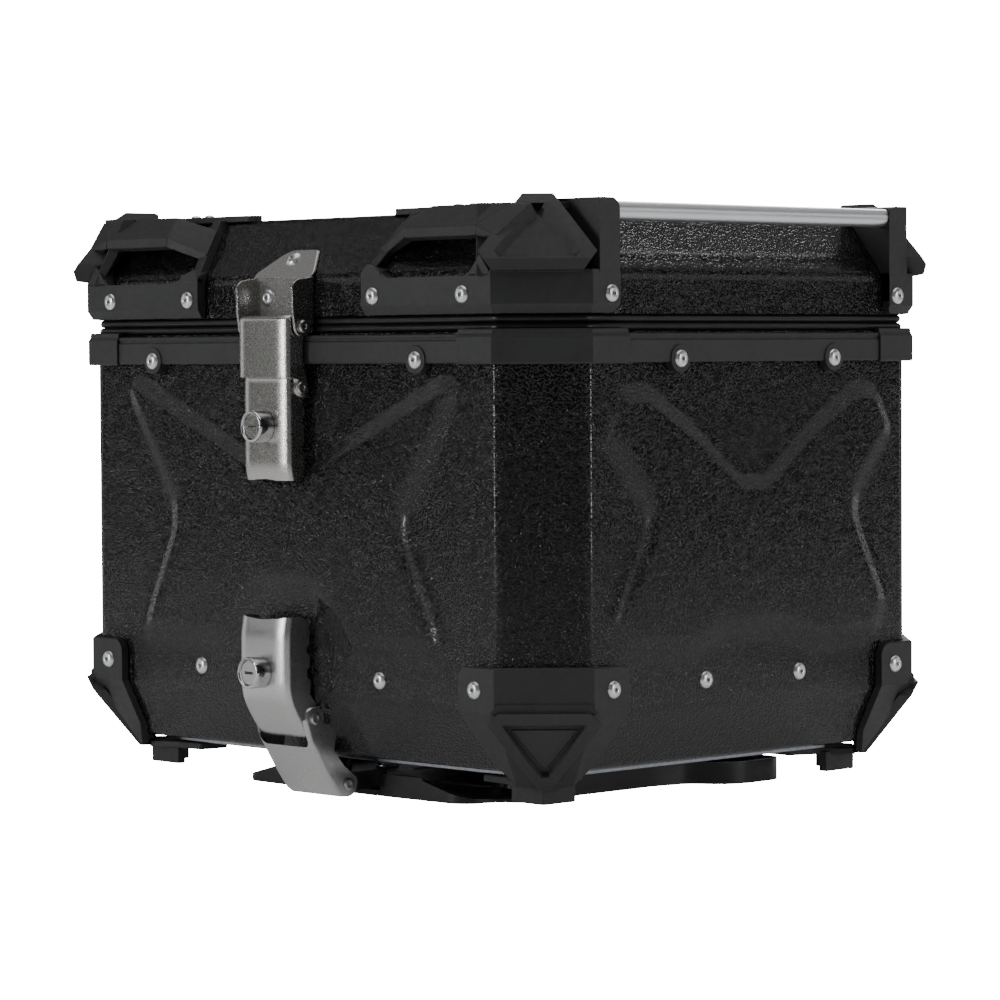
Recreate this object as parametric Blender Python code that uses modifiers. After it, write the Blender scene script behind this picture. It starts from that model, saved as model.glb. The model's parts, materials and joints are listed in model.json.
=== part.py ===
"""Top case for a motorcycle rack: a folded sheet-metal box and lid with moulded corners, a rail on each
side, a hinge pair at the back, two lockable toggle latches at the front and the plate it clips on to.

Sizes are in millimetres and MM turns them into metres. X runs along the latch side, -Y is the latch
side, +Z is up. The origin is the middle of the base plate's underside."""

import math

import bmesh
import bpy
from mathutils import Matrix, Vector

MM = 0.001
GAP = 0.3

# The box: an octagon in plan, with its four upright corners cut off.
HALF_X = 200.0
HALF_Y = 158.75
CUT = 34.0
SHEET = 1.8
BODY_BOTTOM, BODY_FOLD, BODY_TOP = 23.5, 57.5, 255.5
BOTTOM_INSET = 23.0
LID_BOTTOM, LID_FOLD, LID_TOP = 264.5, 286.5, 319.5
LID_SLOPE = 0.8
OFFSET_SHRINK = 2.0 - math.sqrt(2.0)
CORNER_DISTANCE = (HALF_X + HALF_Y - CUT) / math.sqrt(2.0)
CORNER_MIDDLE = (HALF_X - HALF_Y) / math.sqrt(2.0)

# Rim, corner guards and brackets stand proud of the sheet by these amounts.
STRIP_LOW, STRIP_HIGH, STRIP_PROUD = 239.0, 254.5, 4.5
STRIP_HALF_X, STRIP_HALF_Y = 141.5, 99.2
BOSS_RADIUS, BOSS_Z, BOSS_PROUD = 7.5, 241.0, 5.3
BOSS_X, BOSS_Y = 110.0, 61.0
RIM_LOW, RIM_HIGH, RIM_PROUD = 238.5, 257.0, 5.5
GUARD_TOP, GUARD_LOW, GUARD_PROUD = 81.5, 16.0, 4.9
GUARD_X, GUARD_Y = 141.0, 100.6
FOOT = ((139.5, -124.0), (164.0, -100.0))
FOOT_LOW, FOOT_HIGH, SOLE_LOW, FOOT_WALL = 6.5, 19.9, 14.5, 5.5
BRACKET_PROUD, BRACKET_LOW, BRACKET_TOP = 6.0, 264.8, 324.5
BRACKET_LEFT, BRACKET_BACK, BRACKET_FRONT = 68.5, 107.0, 123.4
BOSS_SHIFT = -2.1

# Side rails.
RAIL_RADIUS, RAIL_X, RAIL_Z, RAIL_HALF = 5.0, 200.0, 318.0, 112.0

# Hinges at the back.
HINGE_Y, HINGE_Z, HINGE_X = 168.5, 260.5, 41.5
KNUCKLE_RADIUS, KNUCKLE_MIDDLE, LEAF_HALF = 4.5, 12.0, 25.0
HINGE_PIN_RADIUS = 2.2

# Latches: pivots as (y, z).
UPPER_HANG, UPPER_ELBOW = (-167.0, 259.3), (-166.0, 226.0)
LOWER_HANG, LOWER_ELBOW = (-135.1, 8.0), (-159.0, 45.8)
LATCH_SHEET = 1.5
WIDE_CHANNEL, NARROW_CHANNEL = 21.0, 19.1
LOWER_LINK_HALF, LOWER_LEVER_HALF = 21.9, 20.0
PIN_RADIUS, PIN_HOLE, PIN_HEAD = 2.2, 2.5, 3.7
UPPER_LOCK_Z, LOWER_LOCK_Z = 205.2, 71.2
UPPER_FACE, LOWER_FACE = -174.9, -178.6
LOCK_RADIUS, LOCK_BODY, LOCK_STANDS = 8.75, 6.0, 9.8

# Base plate.
PLATE_THICK, PLATE_RIM = 3.0, 12.5
BUFFER_X, BUFFER_Y, BUFFER_RADIUS = 78.0, 58.0, 11.0

ROUND_STEPS = 24
SMALL_STEPS = 16

PLANES = {
    "XY": Matrix(((1, 0, 0), (0, 1, 0), (0, 0, 1))),
    "XZ": Matrix(((1, 0, 0), (0, 0, -1), (0, 1, 0))),
    "YZ": Matrix(((0, 0, 1), (1, 0, 0), (0, 1, 0))),
    "CORNER": Matrix((
        (math.sqrt(0.5), 0, math.sqrt(0.5)),
        (math.sqrt(0.5), 0, -math.sqrt(0.5)),
        (0, 1, 0),
    )),
}

for old in list(bpy.data.objects):
    bpy.data.objects.remove(old, do_unlink=True)

parts = bpy.data.collections.new("top_case")
cutters = bpy.data.collections.new("top_case_cutters")
bpy.context.scene.collection.children.link(parts)
bpy.context.scene.collection.children.link(cutters)
cutters.hide_render = True


def material(name, colour, roughness, metallic):
    found = bpy.data.materials.new(name)
    found.use_nodes = True
    shader = found.node_tree.nodes["Principled BSDF"]
    shader.inputs["Base Color"].default_value = (*colour, 1.0)
    shader.inputs["Roughness"].default_value = roughness
    shader.inputs["Metallic"].default_value = metallic
    return found


MATERIALS = {
    "powder_coat": material("powder_coat", (0.012, 0.012, 0.013), 0.42, 0.3),
    "plastic": material("corner_plastic", (0.020, 0.021, 0.023), 0.55, 0.0),
    "rubber": material("rubber", (0.012, 0.012, 0.012), 0.8, 0.0),
    "stainless": material("stainless", (0.50, 0.48, 0.46), 0.34, 1.0),
    "chrome": material("chrome", (0.75, 0.75, 0.76), 0.12, 1.0),
    "aluminium": material("aluminium", (0.72, 0.73, 0.75), 0.3, 1.0),
    "zinc": material("zinc_plate", (0.62, 0.64, 0.67), 0.35, 1.0),
    "black_steel": material("black_steel", (0.018, 0.018, 0.02), 0.5, 0.4),
    "felt": material("felt_mat", (0.05, 0.05, 0.055), 0.95, 0.0),
}


def add(name, mesh, finish=None):
    """A new object in the parts, or in the cutters where no finish is given."""
    made = bpy.data.objects.new(name, mesh)
    if finish is None:
        cutters.objects.link(made)
        made.hide_render = True
        made.display_type = "WIRE"
    else:
        parts.objects.link(made)
        mesh.materials.append(MATERIALS[finish])
    return made


def baked(thing):
    """The evaluated mesh of an object, welded, with the object itself removed."""
    bpy.context.view_layer.update()
    graph = bpy.context.evaluated_depsgraph_get()
    mesh = bpy.data.meshes.new_from_object(thing.evaluated_get(graph))
    mesh.transform(thing.matrix_world)
    work = bmesh.new()
    work.from_mesh(mesh)
    bmesh.ops.remove_doubles(work, verts=work.verts, dist=1e-6)
    bmesh.ops.recalc_face_normals(work, faces=work.faces)
    work.to_mesh(mesh)
    work.free()
    bpy.data.objects.remove(thing, do_unlink=True)
    mesh.materials.clear()
    return mesh


def slab(plane, outlines, near, far):
    """A flat outline, with any holes as further outlines, given thickness from near to far along the
    plane's normal."""
    turn = PLANES[plane]
    curve = bpy.data.curves.new("outline", "CURVE")
    curve.dimensions = "2D"
    curve.fill_mode = "BOTH"
    curve.extrude = abs(far - near) / 2 * MM
    for outline in outlines:
        spline = curve.splines.new("POLY")
        spline.points.add(len(outline) - 1)
        for point, (u, v) in zip(spline.points, outline):
            point.co = (u * MM, v * MM, 0.0, 1.0)
        spline.use_cyclic_u = True
    holder = bpy.data.objects.new("outline", curve)
    cutters.objects.link(holder)
    shift = turn @ Vector((0.0, 0.0, (near + far) / 2 * MM))
    holder.matrix_world = Matrix.Translation(shift) @ turn.to_4x4()
    return baked(holder)


def arc(centre, radius, start, end, steps):
    """Points on an arc, angles in degrees."""
    turns = [math.radians(start + (end - start) * i / steps) for i in range(steps + 1)]
    return [(centre[0] + radius * math.cos(t), centre[1] + radius * math.sin(t)) for t in turns]


def circle(centre, radius, steps=SMALL_STEPS):
    return arc(centre, radius, 0, 360, steps)[:-1]


def rounded(centre, half_u, half_v, radius, steps=3):
    """A rectangle with round corners."""
    points = []
    for side_u, side_v, start in ((1, 1, 0), (-1, 1, 90), (-1, -1, 180), (1, -1, 270)):
        corner = (centre[0] + side_u * (half_u - radius), centre[1] + side_v * (half_v - radius))
        points += arc(corner, radius, start, start + 90, steps)
    return points


def turned(profile, axis, centre, steps=ROUND_STEPS):
    """A solid of revolution. The profile is (radius, height) pairs from top to bottom, and height runs
    along the axis, which is X, Y or Z."""
    mesh = bpy.data.meshes.new("profile")
    points = [(radius * MM, 0.0, height * MM) for radius, height in profile]
    mesh.from_pydata(points, [(i, i + 1) for i in range(len(points) - 1)], [])
    holder = bpy.data.objects.new("profile", mesh)
    cutters.objects.link(holder)
    screw = holder.modifiers.new("Screw", "SCREW")
    screw.steps = steps
    screw.render_steps = steps
    screw.use_merge_vertices = True
    screw.merge_threshold = 1e-5
    turn = {
        "X": Matrix.Rotation(math.radians(90), 4, "Y"),
        "Y": Matrix.Rotation(math.radians(-90), 4, "X"),
        "Z": Matrix.Identity(4),
    }[axis]
    holder.matrix_world = Matrix.Translation(Vector(centre) * MM) @ turn
    return baked(holder)


def pin(half_length, radius, head, head_thick, centre, axis="X", steps=SMALL_STEPS):
    """A cross pin with a round head at each end."""
    end = half_length + head_thick
    profile = [
        (0, end), (head * 0.8, end), (head, end - 0.4), (head, half_length), (radius, half_length),
        (radius, -half_length), (head, -half_length), (head, 0.4 - end), (head * 0.8, -end), (0, -end),
    ]
    return turned(profile, axis, centre, steps)


def rod(half_length, radius, centre, axis="X", steps=SMALL_STEPS):
    return turned([(0, half_length), (radius, half_length), (radius, -half_length), (0, -half_length)],
                  axis, centre, steps)


def octagon(inset, z, half_x=HALF_X, half_y=HALF_Y, cut=CUT):
    """Corners of the plan shape, moved inwards by inset, going round anticlockwise."""
    x, y = half_x - inset, half_y - inset
    c = cut - OFFSET_SHRINK * inset
    plan = [(x - c, -y), (x, c - y), (x, y - c), (x - c, y), (c - x, y), (-x, y - c), (-x, c - y), (c - x, -y)]
    return [(u, v, z) for u, v in plan]


def lofted(rings, thickness, outwards, closed=True, cap=None):
    """A sheet through rings of equal count, thickened. cap closes the first or the last ring."""
    mesh = bpy.data.meshes.new("sheet")
    work = bmesh.new()
    rows = [[work.verts.new(Vector(p) * MM) for p in ring] for ring in rings]
    count = len(rings[0])
    for low, high in zip(rows, rows[1:]):
        for i in range(count if closed else count - 1):
            j = (i + 1) % count
            work.faces.new((low[i], low[j], high[j], high[i]))
    if cap == "first":
        work.faces.new(list(reversed(rows[0])))
    if cap == "last":
        work.faces.new(rows[-1])
    work.normal_update()
    work.to_mesh(mesh)
    work.free()
    holder = bpy.data.objects.new("sheet", mesh)
    cutters.objects.link(holder)
    solid = holder.modifiers.new("Solidify", "SOLIDIFY")
    solid.thickness = thickness * MM
    solid.offset = 1.0 if outwards else -1.0
    solid.use_even_offset = True
    return baked(holder)


def combined(mesh, others, operation):
    """The mesh with the others joined to it or cut from it, one after another."""
    holder = bpy.data.objects.new("body", mesh)
    parts.objects.link(holder)
    tools = []
    for other in others:
        tool = add("tool", other)
        tools.append(tool)
        step = holder.modifiers.new("Boolean", "BOOLEAN")
        step.operation = operation
        step.object = tool
        step.solver = "EXACT"
    result = baked(holder)
    for tool in tools:
        bpy.data.objects.remove(tool, do_unlink=True)
    return result


def joined(mesh, *others):
    return combined(mesh, others, "UNION")


def cut_by(mesh, *others):
    return combined(mesh, others, "DIFFERENCE")


def common(mesh, *others):
    return combined(mesh, others, "INTERSECT")


def place_mirrored(name, mesh, finish, side_x, side_y):
    """A copy of a piece made for the +X, -Y corner, mirrored to another corner."""
    made = add(name, mesh.copy(), finish)
    made.scale = (side_x, -side_y, 1.0)
    return made


def corner_copies(name, mesh, finish):
    for end, side_y in (("front", -1), ("rear", 1)):
        for hand, side_x in (("right", 1), ("left", -1)):
            place_mirrored(f"{name}_{end}_{hand}", mesh, finish, side_x, side_y)


# Case --------------------------------------------------------------------------------------------


def body_shell():
    rings = [octagon(BOTTOM_INSET, BODY_BOTTOM), octagon(0, BODY_FOLD), octagon(0, BODY_TOP)]
    add("body_shell", lofted(rings, SHEET, False, cap="first"), "powder_coat")


def bottom_plate():
    outline = [(x, y) for x, y, _ in octagon(0, 0, 168.0, 127.0, 24.0)]
    slots = [rounded((side * 45.0, 104.0), 11.0, 4.0, 3.9) for side in (-1, 1)]
    add("bottom_plate", slab("XY", [outline, *slots], 20.2, BODY_BOTTOM - GAP), "zinc")


def floor_mat():
    outline = [(x, y) for x, y, _ in octagon(BOTTOM_INSET + 4.0, 0)]
    low = BODY_BOTTOM + SHEET + GAP
    add("floor_mat", slab("XY", [outline], low, low + 3.0), "felt")


def rim_strips():
    near, far = HALF_Y + GAP, HALF_Y + STRIP_PROUD
    bar = [(-STRIP_HALF_X, STRIP_LOW), (STRIP_HALF_X, STRIP_LOW),
           (STRIP_HALF_X, STRIP_HIGH), (-STRIP_HALF_X, STRIP_HIGH)]
    bosses = [slab("XZ", [circle((side * BOSS_X, BOSS_Z), BOSS_RADIUS)], near, HALF_Y + BOSS_PROUD)
              for side in (-1, 1)]
    front = joined(slab("XZ", [bar], near, far), *bosses)
    add("rim_strip_front", front, "plastic")
    add("rim_strip_rear", front.copy(), "plastic").scale = (1.0, -1.0, 1.0)
    near, far = HALF_X + GAP, HALF_X + STRIP_PROUD
    bar = [(-STRIP_HALF_Y, STRIP_LOW), (STRIP_HALF_Y, STRIP_LOW),
           (STRIP_HALF_Y, STRIP_HIGH), (-STRIP_HALF_Y, STRIP_HIGH)]
    bosses = [slab("YZ", [circle((side * BOSS_Y, BOSS_Z), BOSS_RADIUS)], near, HALF_X + BOSS_PROUD)
              for side in (-1, 1)]
    right = joined(slab("YZ", [bar], near, far), *bosses)
    add("rim_strip_right", right, "plastic")
    add("rim_strip_left", right.copy(), "plastic").scale = (-1.0, 1.0, 1.0)


def corner_path(reach_x, reach_y, z, inset=0.0):
    """An open line round the +X, -Y corner, from x = reach_x on the front to y = -reach_y on the side."""
    x, y = HALF_X - inset, HALF_Y - inset
    c = CUT - OFFSET_SHRINK * inset
    return [(reach_x, -y, z), (x - c, -y, z), (x, c - y, z), (x, -reach_y, z)]


def rim_corners():
    reach = (STRIP_HALF_X + 0.5, STRIP_HALF_Y + 0.4)
    rings = [corner_path(*reach, z, -GAP) for z in (RIM_LOW, RIM_HIGH)]
    corner_copies("rim_corner", lofted(rings, RIM_PROUD - GAP, True, closed=False), "plastic")


def foot_guards():
    """A moulded guard over each lower corner, with the foot that the case stands on off its plate."""
    slope = BOTTOM_INSET / (BODY_FOLD - BODY_BOTTOM)
    low_inset = slope * (BODY_FOLD - GUARD_LOW)
    rings = [
        corner_path(149.0, 108.0, GUARD_LOW, low_inset - GAP),
        corner_path(GUARD_X, GUARD_Y, BODY_FOLD, -GAP),
        corner_path(GUARD_X, GUARD_Y, GUARD_TOP, -GAP),
    ]
    skin = lofted(rings, GUARD_PROUD - GAP, True, closed=False)
    sole = slab("XY", [[(136.5, -97.0), (158.0, -97.0), (174.5, -114.0), (155.5, -133.0), (136.5, -121.5)]],
                SOLE_LOW, FOOT_HIGH)
    (x0, y0), (x1, y1) = FOOT
    leg = [(x0, y0), (x1, y0), (x1, y1), (x1 - FOOT_WALL, y1), (x1 - FOOT_WALL, y0 + FOOT_WALL), (x0, y0 + FOOT_WALL)]
    foot = slab("XY", [leg], FOOT_LOW, FOOT_HIGH - 1.0)
    corner_copies("foot_guard", joined(skin, sole, foot), "plastic")


def keepers():
    """The two ledges on the front that the latches' catch pins hold, each on its own plate."""
    near = HALF_Y + GAP
    plate = slab("XZ", [[(-14, 212), (14, 212), (14, 231), (-14, 231)]], near, near + 2.0)
    ledge = slab("XZ", [[(-14, 219.5), (14, 219.5), (14, 222.5), (-14, 222.5)]], near + 1.0, HALF_Y + 6.8)
    add("upper_keeper", joined(plate, ledge), "stainless")
    plate = slab("XZ", [[(-14, 80), (14, 80), (14, 99), (-14, 99)]], near, near + 2.0)
    ledge = slab("XZ", [[(-14, 87.5), (14, 87.5), (14, 90.5), (-14, 90.5)]], near + 1.0, HALF_Y + 7.3)
    add("lower_keeper", joined(plate, ledge), "stainless")


# Lid ---------------------------------------------------------------------------------------------


def lid_inset(z):
    return LID_SLOPE * max(0.0, z - LID_FOLD)


def lid_shell():
    rings = [octagon(lid_inset(z), z) for z in (LID_BOTTOM, LID_FOLD, LID_TOP)]
    add("lid_shell", lofted(rings, SHEET, False, cap="last"), "powder_coat")


def lid_seal():
    outer = [(x, y) for x, y, _ in octagon(0.4, 0)]
    inner = [(x, y) for x, y, _ in octagon(7.0, 0)]
    add("lid_seal", slab("XY", [outer, inner], BODY_TOP + 0.5, LID_BOTTOM - GAP), "rubber")


def bracket_band():
    """The lower part of the bracket, which wraps the corner below the fold."""
    rings = [corner_path(BRACKET_LEFT, BRACKET_BACK, z, -GAP) for z in (BRACKET_LOW, LID_FOLD + 0.5)]
    return lofted(rings, BRACKET_PROUD - GAP, True, closed=False)


def bracket_front():
    """The upright plate with the strap window, the webs behind its ends and its flange on the lid."""
    near, far = HALF_Y + 0.9, HALF_Y + BRACKET_PROUD - 0.1
    outline = [
        (BRACKET_LEFT + 0.4, 272.0), (167.0, 272.0), (167.0, 300.0), (158.0, 321.4),
        (125.0, 321.9), (115.0, 319.1), (97.9, 307.5), (73.8, 293.5), (BRACKET_LEFT + 0.4, 287.9),
    ]
    window = [
        (89.0, 288.0), (149.4, 288.0), (160.0, 295.9), (163.0, 302.5),
        (157.4, 309.3), (152.0, 311.2), (104.7, 311.5), (97.8, 297.5),
    ]
    face = slab("XZ", [outline, window], near, far)

    def web(x0, x1, top):
        """Fills between the plate and the sloping side of the lid."""
        back = HALF_Y - lid_inset(top) + GAP
        low = LID_FOLD + 2.2
        profile = [(-near - 1.3, low), (-near - 1.3, top), (-back, top), (lid_inset(low) - HALF_Y - GAP, low)]
        return slab("YZ", [profile], x0, x1)

    low_web = web(BRACKET_LEFT + 4.0, 83.0, 296.0)
    high_web = web(158.5, 166.0, 320.6)
    flange = slab("XY", [[(112.0, -near - 2.0), (160.0, -near - 2.0), (178.0, -126.0), (178.0, -112.0),
                          (163.0, -118.0), (146.0, -122.0), (112.0, -122.0)]], LID_TOP + GAP, BRACKET_TOP - 2.0)
    tip = slab("XZ", [[(112.5, 316.0), (159.0, 316.0), (159.0, 321.0), (112.5, 321.0)]], near + 0.3, far - 0.4)
    return joined(face, low_web, high_web, tip, flange)


def bracket_side():
    """The block on the side of the lid that holds one end of the rail."""
    x, proud = HALF_X + 0.9, HALF_X + BRACKET_PROUD - 0.1
    edge = HALF_X - lid_inset(LID_TOP) + GAP
    profile = [
        (x, 272.0), (proud, 272.0), (proud, BRACKET_TOP - 3.0), (proud - 3.0, BRACKET_TOP),
        (168.0, BRACKET_TOP), (168.0, LID_TOP + GAP), (edge + 0.4, LID_TOP + GAP), (x, LID_FOLD + 0.3),
    ]
    return slab("XZ", [profile], BRACKET_BACK + 0.3, BRACKET_FRONT - 1.5)


def bracket_corner():
    """The pointed boss above the band on the cut corner."""
    d = CORNER_DISTANCE
    inner_top = d - lid_inset(LID_TOP) + GAP
    side_view = [
        (d + 0.9, 281.0), (d + 5.5, 281.0), (d + 5.7, 286.3), (d + 12.3, 287.0), (d + 13.5, 292.6),
        (d - 7.3, 321.9), (d - 15.0, 327.0), (d - 34.0, 326.5), (d - 34.0, LID_TOP + 0.5),
        (inner_top, LID_TOP + 0.5), (d + 0.9, LID_FOLD + 1.0),
    ]
    front_view = [
        (-30.7, 296.7), (-23.2, 286.1), (-23.2, 280.5), (23.2, 280.5), (23.2, 286.1), (30.7, 296.7),
        (7.5, 328.0), (-7.5, 328.0),
    ]
    boss = slab("CORNER", [front_view], d - 40.0, d + 20.0)
    # The side view is drawn in the upright plane through the corner's normal, then turned to face it.
    section = slab("XZ", [side_view], -34.0, 34.0)
    section.transform(Matrix.Rotation(math.radians(-45), 4, "Z"))
    whole = common(boss, section)
    along = Vector((math.sqrt(0.5), math.sqrt(0.5), 0.0))
    whole.transform(Matrix.Translation(along * (CORNER_MIDDLE + BOSS_SHIFT) * MM))
    return whole


def lid_corners():
    socket = rod(RAIL_HALF + GAP, RAIL_RADIUS + GAP, (RAIL_X, 0, RAIL_Z), "Y", SMALL_STEPS)
    whole = joined(bracket_band(), bracket_front(), bracket_side(), bracket_corner())
    corner_copies("lid_corner", cut_by(whole, socket), "plastic")


def rails():
    for hand, side in (("right", 1), ("left", -1)):
        curve = bpy.data.curves.new("rail", "CURVE")
        curve.dimensions = "3D"
        curve.bevel_depth = RAIL_RADIUS * MM
        curve.bevel_resolution = 2
        curve.use_fill_caps = True
        spline = curve.splines.new("POLY")
        spline.points.add(1)
        for point, end in zip(spline.points, (-1, 1)):
            point.co = (side * RAIL_X * MM, end * (RAIL_HALF - 1.0) * MM, RAIL_Z * MM, 1.0)
        holder = bpy.data.objects.new("rail", curve)
        cutters.objects.link(holder)
        add(f"rail_{hand}", baked(holder), "aluminium")


def latch_bracket():
    """The plate on the front of the lid, bent back over the slope, with an ear each side for the latch."""
    near = -(HALF_Y + GAP)
    rings = [
        [(-24, near, 255.2), (24, near, 255.2)],
        [(-24, near, LID_FOLD), (24, near, LID_FOLD)],
        [(-10, near + lid_inset(301.5), 301.5), (10, near + lid_inset(301.5), 301.5)],
    ]
    plate = lofted(rings, 2.0, True, closed=False)
    ear = [
        (near - 1.0, 257.0), (near - 4.4, 254.9), *arc(UPPER_HANG, 5.8, 250, 200, 3),
        (-174.0, 262.0), (-174.0, 277.0), (-171.5, 282.5), (-167.0, 285.1), (near - 1.0, 285.1),
    ]
    ears = [slab("YZ", [ear], side * 22.3, side * 24.0) for side in (-1, 1)]
    hole = rod(30.0, PIN_HOLE, (0, *UPPER_HANG))
    add("latch_bracket", cut_by(joined(plate, *ears), hole), "stainless")


# Hinges ------------------------------------------------------------------------------------------


def hinge(hand, side):
    """One hinge: a leaf on the case, a leaf on the lid and the pin through their knuckles."""
    x = side * HINGE_X
    centre = (HINGE_Y, HINGE_Z)
    strip = HALF_Y + STRIP_PROUD + GAP
    leaf = slab("XZ", [[(x - LEAF_HALF, 237.5), (x + LEAF_HALF, 237.5), (x + LEAF_HALF, 253.8),
                        (x - LEAF_HALF, 253.8)]], -strip - 2.0, -strip)
    neck = slab("YZ", [[(strip + 0.5, 250.0), (strip + 1.8, 250.0), (HINGE_Y + 1.0, HINGE_Z - 3.0),
                        (HINGE_Y, HINGE_Z), (HINGE_Y - 4.0, HINGE_Z), (strip + 0.5, 255.5)]],
                x - KNUCKLE_MIDDLE + 0.4, x + KNUCKLE_MIDDLE - 0.4)
    knuckle = rod(KNUCKLE_MIDDLE, KNUCKLE_RADIUS, (x, *centre))
    hole = rod(LEAF_HALF + 5.0, PIN_HOLE, (x, *centre))
    add(f"hinge_case_leaf_{hand}", cut_by(joined(leaf, neck, knuckle), hole), "stainless")
    wall = HALF_Y + GAP
    plate = slab("XZ", [[(x - LEAF_HALF, 265.5), (x + LEAF_HALF, 265.5), (x + LEAF_HALF, 285.5),
                         (x - LEAF_HALF, 285.5)]], -wall - 2.0, -wall)
    pieces = []
    for end in (-1, 1):
        inner, outer = KNUCKLE_MIDDLE + GAP, LEAF_HALF
        span = (x + end * inner, x + end * outer)
        arm = [(wall + 0.6, 266.2), (wall + 0.6, 270.0), (wall + 1.8, 270.0), (HINGE_Y + 2.0, HINGE_Z + 3.8),
               (HINGE_Y, HINGE_Z), (HINGE_Y - 4.2, HINGE_Z + 0.5)]
        pieces.append(slab("YZ", [arm], span[0] + end * 0.4, span[1] - end * 0.4))
        pieces.append(rod((outer - inner) / 2, KNUCKLE_RADIUS, (sum(span) / 2, *centre)))
    hole = rod(LEAF_HALF + 5.0, PIN_HOLE, (x, *centre))
    leaf = add(f"hinge_lid_leaf_{hand}", cut_by(joined(plate, *pieces), hole), "stainless")
    set_origin(leaf, (x, *centre))
    add(f"hinge_pin_{hand}", pin(LEAF_HALF + GAP, HINGE_PIN_RADIUS, 3.5, 1.2, (x, *centre)), "stainless")


# Latches -----------------------------------------------------------------------------------------


def set_origin(thing, point):
    """Moves an object's origin to a point on its joint's axis, leaving its shape where it is."""
    place = Vector(point) * MM
    thing.data.transform(Matrix.Translation(-place))
    thing.location = place


def channel(front, back, half_width, holes):
    """A folded sheet channel: front is the line of its face seen from the side, from top to bottom, and
    back closes the outline of its flanges. Both are (y, z) points. holes are (centre, radius) pairs through
    both flanges."""
    outline = [*front, *back]
    outer = slab("YZ", [outline], -half_width, half_width)
    face_back = []
    for i, (y, z) in enumerate(front):
        before, after = front[max(i - 1, 0)], front[min(i + 1, len(front) - 1)]
        along = Vector((after[0] - before[0], after[1] - before[1])).normalized()
        face_back.append((y - along.y * LATCH_SHEET, z + along.x * LATCH_SHEET))
    first, last = face_back[0], face_back[-1]
    inner = [(first[0], first[1] + 30.0), *face_back, (last[0], last[1] - 30.0), (-100.0, last[1] - 30.0),
             (-100.0, first[1] + 30.0)]
    space = half_width - LATCH_SHEET
    tools = [slab("YZ", [inner], -space, space)]
    tools += [rod(40.0, radius, (0, *centre), "X") for centre, radius in holes]
    return cut_by(outer, *tools)


def upper_link():
    hang, elbow = UPPER_HANG, UPPER_ELBOW
    front = [(-174.2, 266.4), (-176.75, 264.5), (-176.75, 231.8)]
    back = [(-171.5, 231.8), *arc(elbow, 5.2, 165, 375, 8), (-164.2, 236.0), (-164.2, 254.0),
            *arc(hang, 5.6, -35, 90, 5)]
    mesh = channel(front, back, WIDE_CHANNEL, [(hang, PIN_HOLE), (elbow, PIN_HOLE)])
    set_origin(add("upper_link", mesh, "stainless"), (0, *hang))


def upper_lever():
    elbow = UPPER_ELBOW
    front = [(UPPER_FACE + 0.6, 232.6), (UPPER_FACE, 230.5), (UPPER_FACE, 182.0), (UPPER_FACE + 1.2, 175.5)]
    back = [(-165.0, 175.5), (-162.0, 180.0), (-162.0, 192.0), (-163.6, 195.0), (-162.0, 198.5),
            (-162.0, 212.0), (-163.0, 218.0), *arc(elbow, 5.2, -40, 90, 6)]
    lock_hole = rod(8.0, LOCK_BODY + 0.4, (0, UPPER_FACE, UPPER_LOCK_Z), "Y")
    mesh = cut_by(channel(front, back, NARROW_CHANNEL, [(elbow, PIN_HOLE)]), lock_hole)
    set_origin(add("upper_lever", mesh, "stainless"), (0, *elbow))


def lower_link():
    """The outer channel of the lower latch. Its face ends below the lever, and two arms carry the lever."""
    hang, elbow = LOWER_HANG, LOWER_ELBOW
    front = [(-166.4, 45.0), (-165.2, 40.2), (-162.9, 33.1), (-159.9, 28.8), (-151.5, 15.0), (-141.6, 2.0)]
    back = [*arc(hang, 7.2, 262, 390, 7), (-138.6, 18.4), (-144.4, 25.0), (-148.0, 31.0), (-151.6, 38.0),
            *arc(elbow, 5.6, -25, 130, 6)]
    mesh = channel(front, back, LOWER_LINK_HALF, [(hang, PIN_HOLE), (elbow, PIN_HOLE)])
    space = LOWER_LINK_HALF - LATCH_SHEET
    window = slab("XZ", [rounded((0, 44.8), space + 0.1, 16.0, 5.0)], 155.0, 175.0)
    set_origin(add("lower_link", cut_by(mesh, window), "stainless"), (0, *hang))


def lower_lever():
    elbow = LOWER_ELBOW
    front = [(LOWER_FACE + 0.8, 101.5), (LOWER_FACE, 92.0), (LOWER_FACE, 64.0), (-177.3, 56.0),
             (-174.0, 49.5), (-169.5, 42.5), (-165.0, 37.0), (-161.5, 34.8)]
    back = [*arc(elbow, 5.3, 262, 377, 6), (-156.0, 53.0), (-162.0, 60.0), (-162.0, 66.0),
            (-163.6, 69.0), (-162.0, 72.5), (-162.0, 97.0), (-164.0, 101.5)]
    lock_hole = rod(8.0, LOCK_BODY + 0.4, (0, LOWER_FACE, LOWER_LOCK_Z), "Y")
    mesh = cut_by(channel(front, back, LOWER_LEVER_HALF, [(elbow, PIN_HOLE)]), lock_hole)
    set_origin(add("lower_lever", mesh, "stainless"), (0, *elbow))


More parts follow.
